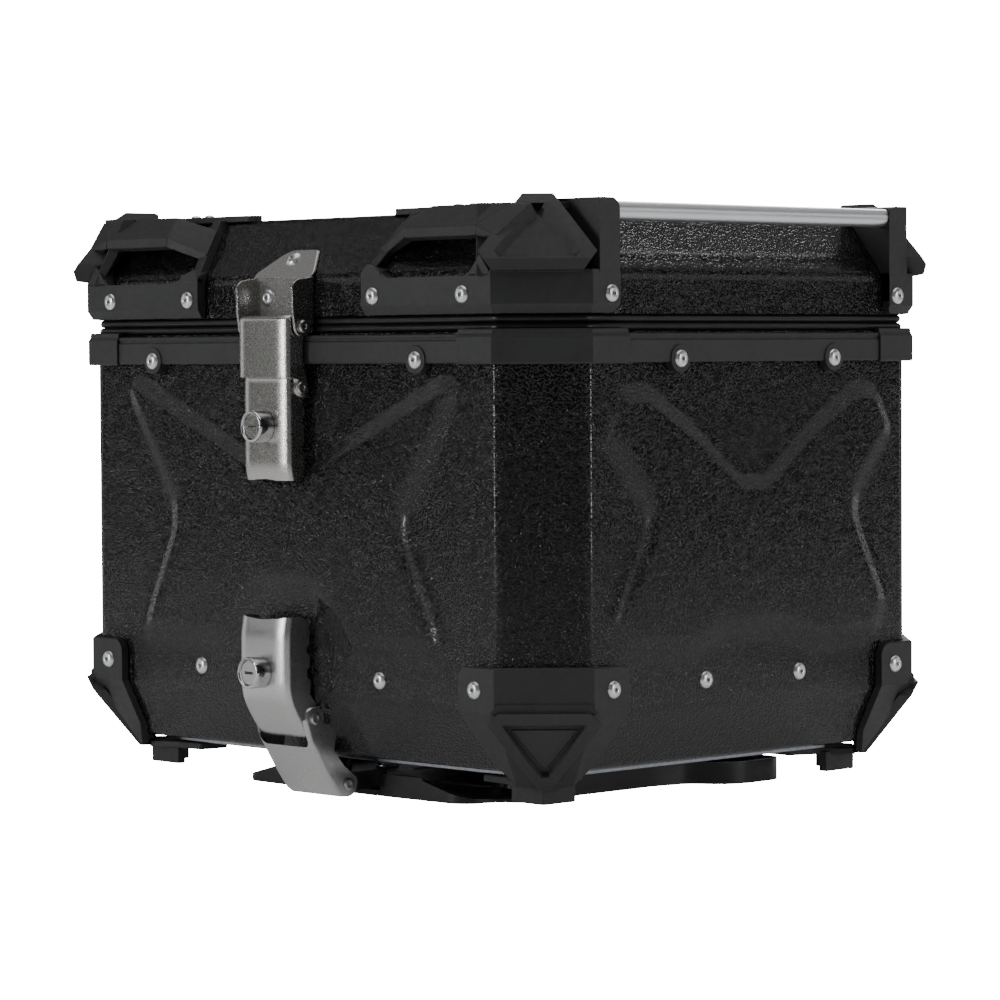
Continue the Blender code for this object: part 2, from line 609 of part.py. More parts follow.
def lock(name, face, z):
    """A barrel standing on the lever's face with its body through the sheet, and the plug in it. Heights
    are measured outwards from the face."""
    out, seat, back = LOCK_STANDS, LOCK_STANDS - 2.6, -6.5
    barrel = [
        (4.7, seat), (7.0, seat), (7.0, out), (8.3, out), (LOCK_RADIUS, out - 0.6), (LOCK_RADIUS, GAP),
        (LOCK_BODY, GAP), (LOCK_BODY, back), (4.7, back), (4.7, seat),
    ]
    plug = [
        (0, out - 0.6), (6.7, out - 0.6), (6.7, seat + GAP), (4.4, seat + GAP), (4.4, back - 0.5),
        (0, back - 0.5),
    ]
    centre = (0, face, z)
    flip = Matrix.Translation(Vector(centre) * MM) @ Matrix.Rotation(math.pi, 4, "Z") @ Matrix.Translation(
        -Vector(centre) * MM)
    barrel_mesh = turned(barrel, "Y", centre)
    barrel_mesh.transform(flip)
    add(f"{name}_lock_barrel", barrel_mesh, "chrome")
    plug_mesh = turned(plug, "Y", centre, SMALL_STEPS)
    plug_mesh.transform(flip)
    slot = slab("XZ", [[(-2.6, z - 0.6), (2.6, z - 0.6), (2.6, z + 0.6), (-2.6, z + 0.6)]],
                -face + out - 4.0, -face + out + 1.0)
    tail = slab("XZ", [rounded((0, z - 3.0), 3.0, 6.5, 2.9)], -face + back - 2.0, -face + back - 0.2)
    plug_object = add(f"{name}_lock_plug", joined(cut_by(plug_mesh, slot), tail), "chrome")
    set_origin(plug_object, centre)


def latch_pins():
    add("upper_hang_pin", pin(24.3, PIN_RADIUS, PIN_HEAD, 1.4, (0, *UPPER_HANG)), "stainless")
    add("upper_elbow_pin", pin(WIDE_CHANNEL + GAP, PIN_RADIUS, PIN_HEAD, 1.4, (0, *UPPER_ELBOW)), "stainless")
    add("lower_elbow_pin", pin(LOWER_LINK_HALF + GAP, PIN_RADIUS, PIN_HEAD, 1.4, (0, *LOWER_ELBOW)), "stainless")
    add("lower_hang_pin", pin(LOWER_LINK_HALF + GAP, PIN_RADIUS, PIN_HEAD, 1.4, (0, *LOWER_HANG)), "stainless")
    add("upper_catch_pin", rod(NARROW_CHANNEL - LATCH_SHEET - GAP, 1.8, (0, -168.9, 214.5)), "stainless")
    add("lower_catch_pin", rod(LOWER_LEVER_HALF - LATCH_SHEET - GAP, 1.8, (0, -169.6, 94.5)), "stainless")


# Base --------------------------------------------------------------------------------------------


def base_outline(inset):
    """Half outline of the plate on the +X side, front to back, mirrored to close it."""
    half = [
        (30.0, -116.0 + inset), (84.0, -114.0 + inset), (92.0 - inset, -108.0 + inset),
        (96.0 - inset, -92.0), (110.0 - inset, -84.0), (116.0 - inset, -72.0), (105.0 - inset, -58.0),
        (105.0 - inset, 20.0), (110.0 - inset, 44.0), (126.0 - inset, 54.0), (132.0 - inset, 66.0),
        (132.0 - inset, 92.0), (126.0 - inset, 102.0 - inset), (108.0, 102.0 - inset),
        (96.0, 92.0 - inset), (30.0, 90.0 - inset),
    ]
    return half + [(-x, y) for x, y in reversed(half)]


def base_plate():
    floor_holes = []
    for side in (-1, 1):
        floor_holes.append(rounded((side * 118.0, 72.0), 5.0, 11.0, 4.9))
        floor_holes.append(rounded((side * 40.0, -62.0), 17.0, 5.0, 4.9))
        floor_holes.append(rounded((side * 40.0, 50.0), 17.0, 5.0, 4.9))
        floor_holes.append(rounded((side * 40.0, -12.0), 6.0, 17.0, 5.9))
    tray = slab("XY", [base_outline(0.0)], 0.0, PLATE_RIM)
    inside = slab("XY", [base_outline(3.0)], PLATE_THICK, PLATE_RIM + 10.0)
    mouth = slab("XY", [[(-27.0, -125.0), (27.0, -125.0), (27.0, -108.5), (-27.0, -108.5)]],
                 PLATE_THICK + 0.3, PLATE_RIM + 20.0)
    holes = [slab("XY", [outline], -10.0, PLATE_THICK + 8.0) for outline in floor_holes]
    add("base_plate", cut_by(tray, inside, mouth, *holes), "black_steel")


def base_clevis():
    """The forked bracket bolted on the front of the plate that carries the lower latch."""
    low = PLATE_THICK + 2 * GAP
    cheek = [(-104.0, low + 0.5), (-104.0, 14.0), *arc(LOWER_HANG, 6.2, 70, 270, 7), (-119.5, low + 0.5)]
    cheeks = [slab("YZ", [cheek], side * 17.8, side * 20.0) for side in (-1, 1)]
    floor = slab("XY", [[(-19.5, -116.0), (19.5, -116.0), (19.5, -92.0), (-19.5, -92.0)]], low, low + 2.0)
    hole = rod(30.0, PIN_HOLE, (0, *LOWER_HANG))
    add("base_clevis", cut_by(joined(floor, *cheeks), hole), "black_steel")


def base_hardware():
    for hand, side in (("right", 1), ("left", -1)):
        hook = [(92.0, PLATE_THICK + GAP), (106.0, PLATE_THICK + GAP), (106.0, 17.0), (107.3, 18.5),
                (107.3, 22.5), (103.0, 22.5), (103.0, 6.5), (92.0, 6.5)]
        add(f"rear_hook_{hand}", slab("YZ", [hook], side * 45.0 - 8.0, side * 45.0 + 8.0), "black_steel")
        for end, place in (("front", -1), ("rear", 1)):
            centre = (side * BUFFER_X, place * BUFFER_Y, 0)
            low, high = PLATE_THICK + GAP, 20.2 - GAP
            profile = [(0, high), (BUFFER_RADIUS - 1.0, high), (BUFFER_RADIUS, high - 1.0),
                       (BUFFER_RADIUS, low), (0, low)]
            add(f"buffer_{end}_{hand}", turned(profile, "Z", centre), "rubber")
            low = PLATE_THICK + GAP
            profile = [(0, low + 4.0), (5.0, low + 4.0), (6.5, low + 2.5), (6.5, low), (0, low)]
            bolt = turned(profile, "Z", (side * 62.0, place * 30.0, 0), 6)
            add(f"base_bolt_{end}_{hand}", bolt, "zinc")


# Joints ------------------------------------------------------------------------------------------


def pivot(name, place, children, parent=None):
    """An empty on a joint's axis that carries the pieces moving about it."""
    empty = bpy.data.objects.new(name, None)
    parts.objects.link(empty)
    empty.location = Vector(place) * MM
    if parent is not None:
        hold(empty, parent)
    for child in children:
        hold(bpy.data.objects[child], empty)
    return empty


def hold(child, parent):
    bpy.context.view_layer.update()
    child.parent = parent
    child.matrix_parent_inverse = parent.matrix_world.inverted()


def all_corners(name):
    return [f"{name}_{end}_{hand}" for end in ("front", "rear") for hand in ("right", "left")]


def both(name):
    return [f"{name}_{hand}" for hand in ("right", "left")]


def assemble():
    strips = [f"rim_strip_{side}" for side in ("front", "rear", "left", "right")]
    case = pivot("case_lift", (0, 0, 0), [
        "body_shell", "bottom_plate", "floor_mat", "upper_keeper", "lower_keeper", *strips,
        *all_corners("rim_corner"), *all_corners("foot_guard"), *both("hinge_case_leaf"), *both("hinge_pin"),
    ])
    lid = pivot("lid_hinge", (0, HINGE_Y, HINGE_Z), [
        "lid_shell", "lid_seal", "latch_bracket", "upper_hang_pin", *all_corners("lid_corner"),
        *both("rail"), *both("hinge_lid_leaf"),
    ], case)
    link = pivot("upper_link_pivot", (0, *UPPER_HANG), ["upper_link", "upper_elbow_pin"], lid)
    lever = pivot("upper_lever_pivot", (0, *UPPER_ELBOW),
                  ["upper_lever", "upper_lock_barrel", "upper_catch_pin"], link)
    pivot("upper_lock_pivot", (0, UPPER_FACE, UPPER_LOCK_Z), ["upper_lock_plug"], lever)
    link = pivot("lower_link_pivot", (0, *LOWER_HANG), ["lower_link", "lower_elbow_pin"])
    lever = pivot("lower_lever_pivot", (0, *LOWER_ELBOW),
                  ["lower_lever", "lower_lock_barrel", "lower_catch_pin"], link)
    pivot("lower_lock_pivot", (0, LOWER_FACE, LOWER_LOCK_Z), ["lower_lock_plug"], lever)


def shade():
    for thing in parts.objects:
        if thing.type == "MESH":
            thing.data.shade_smooth()
            thing.data.set_sharp_from_angle(angle=math.radians(35))


body_shell()
bottom_plate()
floor_mat()
rim_strips()
rim_corners()
foot_guards()
keepers()
lid_shell()
lid_seal()
lid_corners()
rails()
latch_bracket()
hinge("right", 1)
hinge("left", -1)
upper_link()
upper_lever()
lower_link()
lower_lever()
lock("upper", UPPER_FACE, UPPER_LOCK_Z)
lock("lower", LOWER_FACE, LOWER_LOCK_Z)
latch_pins()
base_plate()
base_clevis()
base_hardware()
assemble()
shade()
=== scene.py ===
import json
import math

import bmesh
import bpy
import numpy as np
from mathutils import Matrix, Vector

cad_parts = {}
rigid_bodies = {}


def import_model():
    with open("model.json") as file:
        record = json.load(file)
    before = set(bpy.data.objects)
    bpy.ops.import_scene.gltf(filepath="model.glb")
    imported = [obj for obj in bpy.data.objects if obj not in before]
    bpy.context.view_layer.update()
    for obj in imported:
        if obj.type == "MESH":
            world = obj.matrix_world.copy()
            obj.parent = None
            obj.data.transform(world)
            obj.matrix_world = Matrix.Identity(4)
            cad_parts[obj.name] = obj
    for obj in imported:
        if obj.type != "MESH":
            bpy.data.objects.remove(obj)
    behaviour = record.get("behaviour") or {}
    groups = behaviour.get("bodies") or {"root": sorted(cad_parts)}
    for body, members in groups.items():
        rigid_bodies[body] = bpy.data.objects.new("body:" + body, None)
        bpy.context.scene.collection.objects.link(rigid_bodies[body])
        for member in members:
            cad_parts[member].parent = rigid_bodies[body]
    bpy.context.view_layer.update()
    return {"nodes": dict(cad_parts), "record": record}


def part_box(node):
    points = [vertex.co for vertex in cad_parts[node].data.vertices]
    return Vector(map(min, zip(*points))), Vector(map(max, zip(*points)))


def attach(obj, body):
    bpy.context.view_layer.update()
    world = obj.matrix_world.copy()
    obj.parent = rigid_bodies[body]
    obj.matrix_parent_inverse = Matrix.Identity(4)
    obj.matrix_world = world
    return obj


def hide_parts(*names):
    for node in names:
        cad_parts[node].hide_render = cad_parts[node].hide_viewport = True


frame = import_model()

MM = 0.001
ROOT_HALF = math.sqrt(0.5)


def extent(node):
    """Lowest and highest corner of a CAD node, in millimetres."""
    low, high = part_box(node)
    return low / MM, high / MM


# Sizes from the CAD frame.
BODY_LOW, BODY_HIGH = extent("body_shell")
HALF_X, HALF_Y = BODY_HIGH.x, BODY_HIGH.y
BODY_BOTTOM, BODY_TOP = BODY_LOW.z, BODY_HIGH.z
BODY_FOLD, BOTTOM_INSET, CUT, SHEET = BODY_BOTTOM + 34, 23, 34, 1.8
LID_LOW, LID_HIGH = extent("lid_shell")
LID_BOTTOM, LID_TOP = LID_LOW.z, LID_HIGH.z
LID_FOLD, LID_SLOPE = LID_BOTTOM + 22, 0.8
SHRINK = 2 - math.sqrt(2)
CORNER_DISTANCE = (HALF_X + HALF_Y - CUT) * ROOT_HALF
CORNER_MIDDLE = (HALF_X - HALF_Y) * ROOT_HALF
STRIP_LOW, STRIP_HIGH = 239, 254.5
STRIP_HALF_X, STRIP_HALF_Y = 141.5, 99.2
RIM_RIVET_X, RIM_RIVET_Y = 110, 61
BOSS_Z, BOSS_RADIUS, BOSS_PROUD = 241, 7.5, 5.3
RIM_LOW, RIM_HIGH = extent("rim_corner_front_right")[0].z, extent("rim_corner_front_right")[1].z
BRACKET_LOW = extent("lid_corner_front_right")[0].z
BRACKET_TOP = LID_TOP + 5
RAIL_Z, RAIL_RADIUS = 318, 5
UPPER_HANG, UPPER_ELBOW = (-167, 259.3), (-166, 226)
LOWER_HANG, LOWER_ELBOW = (-135.1, 8), (-159, 45.8)
UPPER_FACE, LOWER_FACE = -174.9, -178.6
UPPER_LOCK_Z, LOWER_LOCK_Z = 205.2, 71.2
PIN_HOLE, LOCK_HOLE = 2.5, 6.4
HINGE_X, HINGE_AXIS, LEAF_HALF = 41.5, (168.5, 260.5), 25
FOOT_LOW = extent("foot_guard_front_right")[0].z

# Relief pressed into the sheet: half outlines in (across, up) millimetres, mirrored about the middle.
RELIEF_DEPTH, RELIEF_RAMP = 2.4, 11
FRONT_RELIEF = [
    (14, 179.6), (124.5, 227.8), (135, 227), (132, 218), (96, 162), (96, 146), (118, 101), (122, 86),
    (52, 84), (42, 97.6), (22, 116), (0, 117),
]
SIDE_RELIEF = [
    (10, 174), (48, 203), (84, 224), (100, 222), (111.8, 200.7), (84, 168), (82, 154), (90, 137),
    (100, 118), (106, 105), (100, 88), (52, 85), (22.7, 95), (0, 95),
]

# The camera stands off the near corner, level with the case, with a long lens.
CAMERA_PLACE = Vector((1.597, -1.530, 0.2445))
CAMERA_YAW, CAMERA_DOWN, CAMERA_ROLL = math.radians(46.17), math.radians(2.2), math.radians(-0.35)
CAMERA_LENS = 138.1

PLANES = {
    "XY": Matrix(((1, 0, 0), (0, 1, 0), (0, 0, 1))),
    "XZ": Matrix(((1, 0, 0), (0, 0, -1), (0, 1, 0))),
    "YZ": Matrix(((0, 0, 1), (1, 0, 0), (0, 1, 0))),
    "CORNER": Matrix(((ROOT_HALF, 0, ROOT_HALF), (ROOT_HALF, 0, -ROOT_HALF), (0, 1, 0))),
}

for startup in [o for o in bpy.data.objects if o.name in ("Cube", "Light", "Camera")]:
    bpy.data.objects.remove(startup, do_unlink=True)


# Materials ----


class Nodes:
    """Short names for building a material's node tree."""

    def __init__(self, name):
        self.material = bpy.data.materials.new(name)
        self.material.use_nodes = True
        self.tree = self.material.node_tree
        self.shader = self.tree.nodes["Principled BSDF"]
        coordinates = self.tree.nodes.new("ShaderNodeTexCoord")
        self.place = coordinates.outputs["Object"]

    def link(self, out, into):
        self.tree.links.new(out, into)

    def noise(self, scale, detail=2, roughness=0.5, stretch=None, distortion=0):
        node = self.tree.nodes.new("ShaderNodeTexNoise")
        node.inputs["Scale"].default_value = scale
        node.inputs["Detail"].default_value = detail
        node.inputs["Roughness"].default_value = roughness
        node.inputs["Distortion"].default_value = distortion
        self.link(self.stretched(stretch) if stretch else self.place, node.inputs["Vector"])
        return node.outputs["Fac"]

    def stretched(self, scales):
        node = self.tree.nodes.new("ShaderNodeMapping")
        node.inputs["Scale"].default_value = scales
        self.link(self.place, node.inputs["Vector"])
        return node.outputs["Vector"]

    def cells(self, scale):
        node = self.tree.nodes.new("ShaderNodeTexVoronoi")
        node.inputs["Scale"].default_value = scale
        self.link(self.place, node.inputs["Vector"])
        return node.outputs["Distance"]

    def ramp(self, value, stops):
        node = self.tree.nodes.new("ShaderNodeValToRGB")
        elements = node.color_ramp.elements
        while len(elements) < len(stops):
            elements.new(0.5)
        for element, (at, colour) in zip(elements, stops):
            element.position = at
            element.color = (*colour, 1) if isinstance(colour, tuple) else (colour, colour, colour, 1)
        self.link(value, node.inputs["Fac"])
        return node.outputs["Color"]

    def range(self, value, low, high, out_low, out_high):
        node = self.tree.nodes.new("ShaderNodeMapRange")
        node.inputs["From Min"].default_value = low
        node.inputs["From Max"].default_value = high
        node.inputs["To Min"].default_value = out_low
        node.inputs["To Max"].default_value = out_high
        self.link(value, node.inputs["Value"])
        return node.outputs["Result"]

    def bump(self, height, distance, strength):
        node = self.tree.nodes.new("ShaderNodeBump")
        node.inputs["Strength"].default_value = strength
        node.inputs["Distance"].default_value = distance
        self.link(height, node.inputs["Height"])
        return node.outputs["Normal"]

    def set(self, **values):
        names = {"colour": "Base Color", "rough": "Roughness", "metal": "Metallic", "normal": "Normal",
                 "sheen": "Sheen Weight"}
        for key, value in values.items():
            socket = self.shader.inputs[names[key]]
            if isinstance(value, bpy.types.NodeSocket):
                self.link(value, socket)
            else:
                socket.default_value = value
        return self.material


def grained(name, bump, colour, rough, texture=0.5, **fixed):
    """A finish from three noises, each a scale and a detail with what it drives: the bump's distance and
    strength, the darkest and lightest colour, and the lowest and highest roughness."""
    n = Nodes(name)
    scale, detail, distance, strength = bump
    normal = n.bump(n.noise(scale, detail, texture), distance, strength)
    scale, detail, dark, light = colour
    tint = n.ramp(n.noise(scale, detail, texture), [(0.3, dark), (0.7, light)])
    scale, detail, low, high = rough
    spread = n.range(n.noise(scale, detail), 0.3, 0.7, low, high)
    return n.set(colour=tint, rough=spread, normal=normal, **fixed)


def powder_coat():
    n = Nodes("powder_coat")
    worms = n.noise(700, 1, 0.4, distortion=0.3)
    pebble = n.range(worms, 0.42, 0.58, 0, 1)
    normal = n.bump(pebble, 0.00024, 1)
    colour = n.ramp(pebble, [(0, (0.0020, 0.0020, 0.0022)), (1, (0.0050, 0.0050, 0.0053))])
    rough = n.range(n.noise(160, 3), 0.3, 0.7, 0.09, 0.13)
    return n.set(colour=colour, rough=rough, normal=normal)


def corner_plastic():
    return grained("corner_plastic", (1500, 3, 0.00006, 0.5),
                   (40, 4, (0.0230, 0.0236, 0.0252), (0.0290, 0.0298, 0.0316)), (300, 3, 0.50, 0.60), 0.6)


def rubber():
    return grained("rubber", (900, 2, 0.00004, 0.4), (60, 3, 0.008, 0.013), (120, 3, 0.28, 0.42))


def latch_steel(name, tint, low, high, grain):
    n = Nodes(name)
    speckle = n.noise(1500, 2, 0.6)
    normal = n.bump(speckle, 0.00005, grain)
    dark = tuple(0.86 * c for c in tint)
    colour = n.ramp(n.noise(1300, 2, 0.6), [(0.32, dark), (0.68, tint)])
    rough = n.range(n.noise(900, 3, 0.6), 0.3, 0.7, low, high)
    return n.set(colour=colour, rough=rough, metal=1, normal=normal)


def chrome():
    return grained("chrome", (350, 3, 0.00001, 0.06),
                   (90, 4, (0.66, 0.66, 0.68), (0.74, 0.74, 0.75)), (260, 4, 0.07, 0.14), metal=1)


def rail_aluminium():
    n = Nodes("rail_aluminium")
    drawn = n.noise(900, 3, 0.6, stretch=(1, 0.02, 1))
    normal = n.bump(drawn, 0.00003, 0.15)
    colour = n.ramp(drawn, [(0.3, (0.84, 0.85, 0.87)), (0.7, (0.90, 0.91, 0.93))])
    rough = n.range(drawn, 0.3, 0.7, 0.34, 0.40)
    return n.set(colour=colour, rough=rough, metal=1, normal=normal)


def rivet_aluminium():
    return grained("rivet_aluminium", (900, 3, 0.00004, 0.35),
                   (500, 3, (0.78, 0.79, 0.80), (0.88, 0.88, 0.89)), (600, 3, 0.26, 0.38), metal=1)


def mandrel_steel():
    return grained("mandrel_steel", (1500, 3, 0.00008, 0.6), (1200, 3, 0.05, 0.20),
                   (900, 3, 0.4, 0.6), metal=0.8)


def zinc_plate():
    n = Nodes("zinc_plate")
    spangle = n.cells(260)
    colour = n.ramp(spangle, [(0.1, (0.34, 0.36, 0.40)), (0.9, (0.46, 0.48, 0.52))])
    normal = n.bump(n.noise(500, 3), 0.00003, 0.3)
    rough = n.range(n.noise(200, 3), 0.3, 0.7, 0.26, 0.42)
    return n.set(colour=colour, rough=rough, metal=1, normal=normal)


def black_steel():
    return grained("black_steel", (800, 3, 0.00005, 0.4),
                   (50, 3, (0.010, 0.010, 0.011), (0.016, 0.016, 0.017)), (150, 3, 0.32, 0.46))


def felt_mat():
    n = Nodes("felt_mat")
    fibres = n.noise(900, 5, 0.75, distortion=1.5)
    normal = n.bump(fibres, 0.0004, 0.9)
    colour = n.ramp(fibres, [(0.3, (0.030, 0.030, 0.033)), (0.7, (0.075, 0.075, 0.080))])
    return n.set(colour=colour, rough=0.95, normal=normal, sheen=0.3)


FINISHES = {
    "powder_coat": powder_coat(),
    "plastic": corner_plastic(),
    "rubber": rubber(),
    "stainless": latch_steel("stainless", (0.57, 0.56, 0.54), 0.24, 0.30, 0.9),
    "satin": latch_steel("satin_steel", (0.68, 0.675, 0.67), 0.27, 0.33, 0.25),
    "chrome": chrome(),
    "aluminium": rail_aluminium(),
    "rivet": rivet_aluminium(),
    "mandrel": mandrel_steel(),
    "zinc": zinc_plate(),
    "black_steel": black_steel(),
    "felt": felt_mat(),
}
SLOTS = {
    "powder_coat": "powder_coat", "plastic": "corner_plastic", "rubber": "rubber", "stainless": "stainless",
    "satin": "stainless", "chrome": "chrome", "aluminium": "aluminium_tube", "rivet": "aluminium_tube",
    "mandrel": "black_steel", "zinc": "zinc_plate", "black_steel": "black_steel", "felt": "felt_mat",
}


# Mesh helpers ----


def tidy(work):
    bmesh.ops.remove_doubles(work, verts=work.verts, dist=1e-6)
    bmesh.ops.dissolve_degenerate(work, edges=work.edges, dist=1e-6)
    bmesh.ops.recalc_face_normals(work, faces=work.faces)


def stored(work):
    mesh = bpy.data.meshes.new("shape")
    work.to_mesh(mesh)
    work.free()
    return mesh


def arc(centre, radius, start, end, steps):
    turns = [math.radians(start + (end - start) * i / steps) for i in range(steps + 1)]
    return [(centre[0] + radius * math.cos(t), centre[1] + radius * math.sin(t)) for t in turns]


def circle(centre, radius, steps=32):
    return arc(centre, radius, 0, 360, steps)[:-1]


def rounded(centre, half_u, half_v, radius, steps=6):
    points = []
    for side_u, side_v, start in ((1, 1, 0), (-1, 1, 90), (-1, -1, 180), (1, -1, 270)):
        corner = (centre[0] + side_u * (half_u - radius), centre[1] + side_v * (half_v - radius))
        points += arc(corner, radius, start, start + 90, steps)
    return points


def eased(start, corner, end, steps):
    """Points on the curve from start to end that bends at the corner between them."""
    turns = [k / steps for k in range(steps + 1)]
    return [start * (1 - t) ** 2 + corner * 2 * t * (1 - t) + end * t ** 2 for t in turns]


def softened(outline, radius, steps=4):
    """An outline with its corners rounded off."""
    points = []
    count = len(outline)
    for i, corner in enumerate(outline):
        here = Vector(corner)
        before = Vector(outline[i - 1]) - here
        after = Vector(outline[(i + 1) % count]) - here
        reach = min(radius, 0.45 * before.length, 0.45 * after.length)
        start, end = here + before.normalized() * reach, here + after.normalized() * reach
        points += [tuple(point) for point in eased(start, here, end, steps)]
    return points


def smooth_line(points, radius, steps=4, share=0.45):
    """An open line with its inner corners eased, each over at most this share of the stretches beside it."""
    out = [points[0]]
    for i in range(1, len(points) - 1):
        here = Vector(points[i])
        before, after = Vector(points[i - 1]) - here, Vector(points[i + 1]) - here
        reach = min(radius, share * before.length, share * after.length)
        start, end = here + before.normalized() * reach, here + after.normalized() * reach
        out += [tuple(point) for point in eased(start, here, end, steps)]
    return [*out, points[-1]]


def skin(work, rings):
    """Faces from each ring of vertices to the next."""
    for low, high in zip(rings, rings[1:]):
        for i in range(len(low)):
            j = (i + 1) % len(low)
            work.faces.new((low[i], low[j], high[j], high[i]))


def slab(plane, outline, near, far):
    """A flat outline given thickness along the plane's normal."""
    turn = PLANES[plane]
    return swept([[turn @ Vector((u, v, depth)) for u, v in outline] for depth in (near, far)])


def hull(points):
    work = bmesh.new()
    for point in points:
        work.verts.new(Vector(point) * MM)
    found = bmesh.ops.convex_hull(work, input=work.verts)
    loose = [v for v in found["geom_interior"] if isinstance(v, bmesh.types.BMVert)]
    bmesh.ops.delete(work, geom=loose, context="VERTS")
    bmesh.ops.dissolve_limit(work, angle_limit=math.radians(2), verts=work.verts, edges=work.edges)
    tidy(work)
    return stored(work)


def turned(profile, axis, centre, steps=40):
    """A solid of revolution about X, Y or Z from (radius, height) pairs. Along Y, height runs to -Y."""
    work = bmesh.new()
    turn = {
        "X": Matrix(((0, 0, 1), (1, 0, 0), (0, 1, 0))),
        "Y": Matrix(((1, 0, 0), (0, 0, -1), (0, 1, 0))),
        "Z": Matrix.Identity(3),
    }[axis]
    rings = []
    for radius, height in profile:
        if radius < 1e-6:
            rings.append([work.verts.new((turn @ Vector((0, 0, height)) + Vector(centre)) * MM)])
            continue
        ring = []
        for i in range(steps):
            t = 2 * math.pi * i / steps
            point = turn @ Vector((radius * math.cos(t), radius * math.sin(t), height)) + Vector(centre)
            ring.append(work.verts.new(point * MM))
        rings.append(ring)
    for low, high in zip(rings, rings[1:]):
        for i in range(steps):
            j = (i + 1) % steps
            corners = [low[i % len(low)], low[j % len(low)], high[j % len(high)], high[i % len(high)]]
            unique = list(dict.fromkeys(corners))
            if len(unique) > 2:
                work.faces.new(unique)
    if len(rings[0]) > 1 and len(rings[-1]) > 1:
        for i in range(steps):
            j = (i + 1) % steps
            work.faces.new((rings[-1][i], rings[-1][j], rings[0][j], rings[0][i]))
    tidy(work)
    return stored(work)


def both_ends(half):
    """A (radius, height) profile from its upper half."""
    return [*half, *[(radius, -height) for radius, height in reversed(half)]]


def swept(stations, closed=False):
    """A profile carried along stations. Each station is the ring of the profile's points there."""
    work = bmesh.new()
    rings = [[work.verts.new(Vector(p) * MM) for p in ring] for ring in stations]
    if closed:
        skin(work, [*rings, rings[0]])
    else:
        skin(work, rings)
        work.faces.new(list(reversed(rings[0])))
        work.faces.new(rings[-1])
    tidy(work)
    return stored(work)


def baked(thing):
    bpy.context.view_layer.update()
    graph = bpy.context.evaluated_depsgraph_get()
    mesh = bpy.data.meshes.new_from_object(thing.evaluated_get(graph))
    bpy.data.objects.remove(thing, do_unlink=True)
    return mesh


def placed(mesh, name="helper"):
    thing = bpy.data.objects.new(name, mesh)
    bpy.context.scene.collection.objects.link(thing)
    return thing


def combined(mesh, others, operation):
    holder = placed(mesh)
    tools = []
    for other in others:
        tool = placed(other)
        tools.append(tool)
        step = holder.modifiers.new("Boolean", "BOOLEAN")
        step.operation = operation
        step.object = tool
        step.solver = "EXACT"
    result = baked(holder)
    for tool in tools:
        bpy.data.objects.remove(tool, do_unlink=True)
    work = bmesh.new()
    work.from_mesh(result)
    bmesh.ops.remove_doubles(work, verts=work.verts, dist=2e-6)
    bmesh.ops.dissolve_limit(work, angle_limit=math.radians(0.6), verts=work.verts, edges=work.edges)
    return stored(work)


def cut_by(mesh, *others):
    return combined(mesh, others, "DIFFERENCE")


def common(mesh, *others):
    return combined(mesh, others, "INTERSECT")


def bevelled(mesh, width, segments=2, angle=24):
    if width <= 0:
        return mesh
    holder = placed(mesh)
    step = holder.modifiers.new("Bevel", "BEVEL")
    step.width = width * MM
    step.segments = segments
    step.limit_method = "ANGLE"
    step.angle_limit = math.radians(angle)
    step.harden_normals = True
    step.use_clamp_overlap = True
    for face in mesh.polygons:
        face.use_smooth = True
    return baked(holder)


def mirrored(mesh, side_x, side_y):
    """A copy of a mesh made for the +X, -Y corner, at the corner with those signs."""
    made = mesh.copy()
    made.transform(Matrix.Diagonal((side_x, -side_y, 1, 1)))
    if side_x * -side_y < 0:
        made.flip_normals()
    return made


def gathered(meshes):
    """Several meshes as one, without joining their surfaces."""
    work = bmesh.new()
    for mesh in meshes:
        work.from_mesh(mesh)
    return stored(work)


def piece(name, meshes, finish, body, replaces=(), width=0.5, segments=2, smooth=30):
    """A visible piece from one mesh or several, each bevelled by itself."""
    meshes = meshes if isinstance(meshes, list) else [meshes]
    holders = [placed(bevelled(m.copy(), width, segments)) for m in meshes]
    for holder in holders:
        holder.data.materials.clear()
        holder.data.materials.append(FINISHES[finish])
        for face in holder.data.polygons:
            face.use_smooth = True
        if width <= 0:
            holder.data.set_sharp_from_angle(angle=math.radians(smooth))
    thing = holders[0]
    if len(holders) > 1:
        with bpy.context.temp_override(active_object=thing, selected_editable_objects=holders):
            bpy.ops.object.join()
    thing.name = name
    thing.data.name = name
    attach(thing, body)
    if replaces:
        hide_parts(*replaces)
    return thing


HANDS = (("right", 1), ("left", -1))
CORNERS = [(f"{end}_{hand}", side_x, side_y) for end, side_y in (("front", -1), ("rear", 1))
           for hand, side_x in HANDS]


def corner_pieces(name, node, meshes, finish, body, width=0.5, segments=2):
    meshes = meshes if isinstance(meshes, list) else [meshes]
    for place, side_x, side_y in CORNERS:
        copies = [mirrored(mesh, side_x, side_y) for mesh in meshes]
        piece(f"{name}_{place}", copies, finish, body, [f"{node}_{place}"], width, segments)


def octagon(inset):
    x, y = HALF_X - inset, HALF_Y - inset
    c = CUT - SHRINK * inset
    return [(x - c, -y), (x, c - y), (x, y - c), (x - c, y), (c - x, y), (-x, y - c), (-x, c - y),
            (c - x, -y)]


def corner_path(reach_x, reach_y, inset):
    x, y = HALF_X - inset, HALF_Y - inset
    c = CUT - SHRINK * inset
    return [(reach_x, -y), (x - c, -y), (x, c - y), (x, -reach_y)]


def corner_swept(profile, reach_x, reach_y):
    """A profile of (proud, z, reach x, reach y) or (proud, z) points carried round the corner."""
    stations = []
    for i in range(4):
        ring = []
        for point in profile:
            proud, z = point[:2]
            rx, ry = point[2:] if len(point) > 2 else (reach_x, reach_y)
            x, y = corner_path(rx, ry, -proud)[i]
            ring.append((x, y, z))
        stations.append(ring)
    return swept(stations)


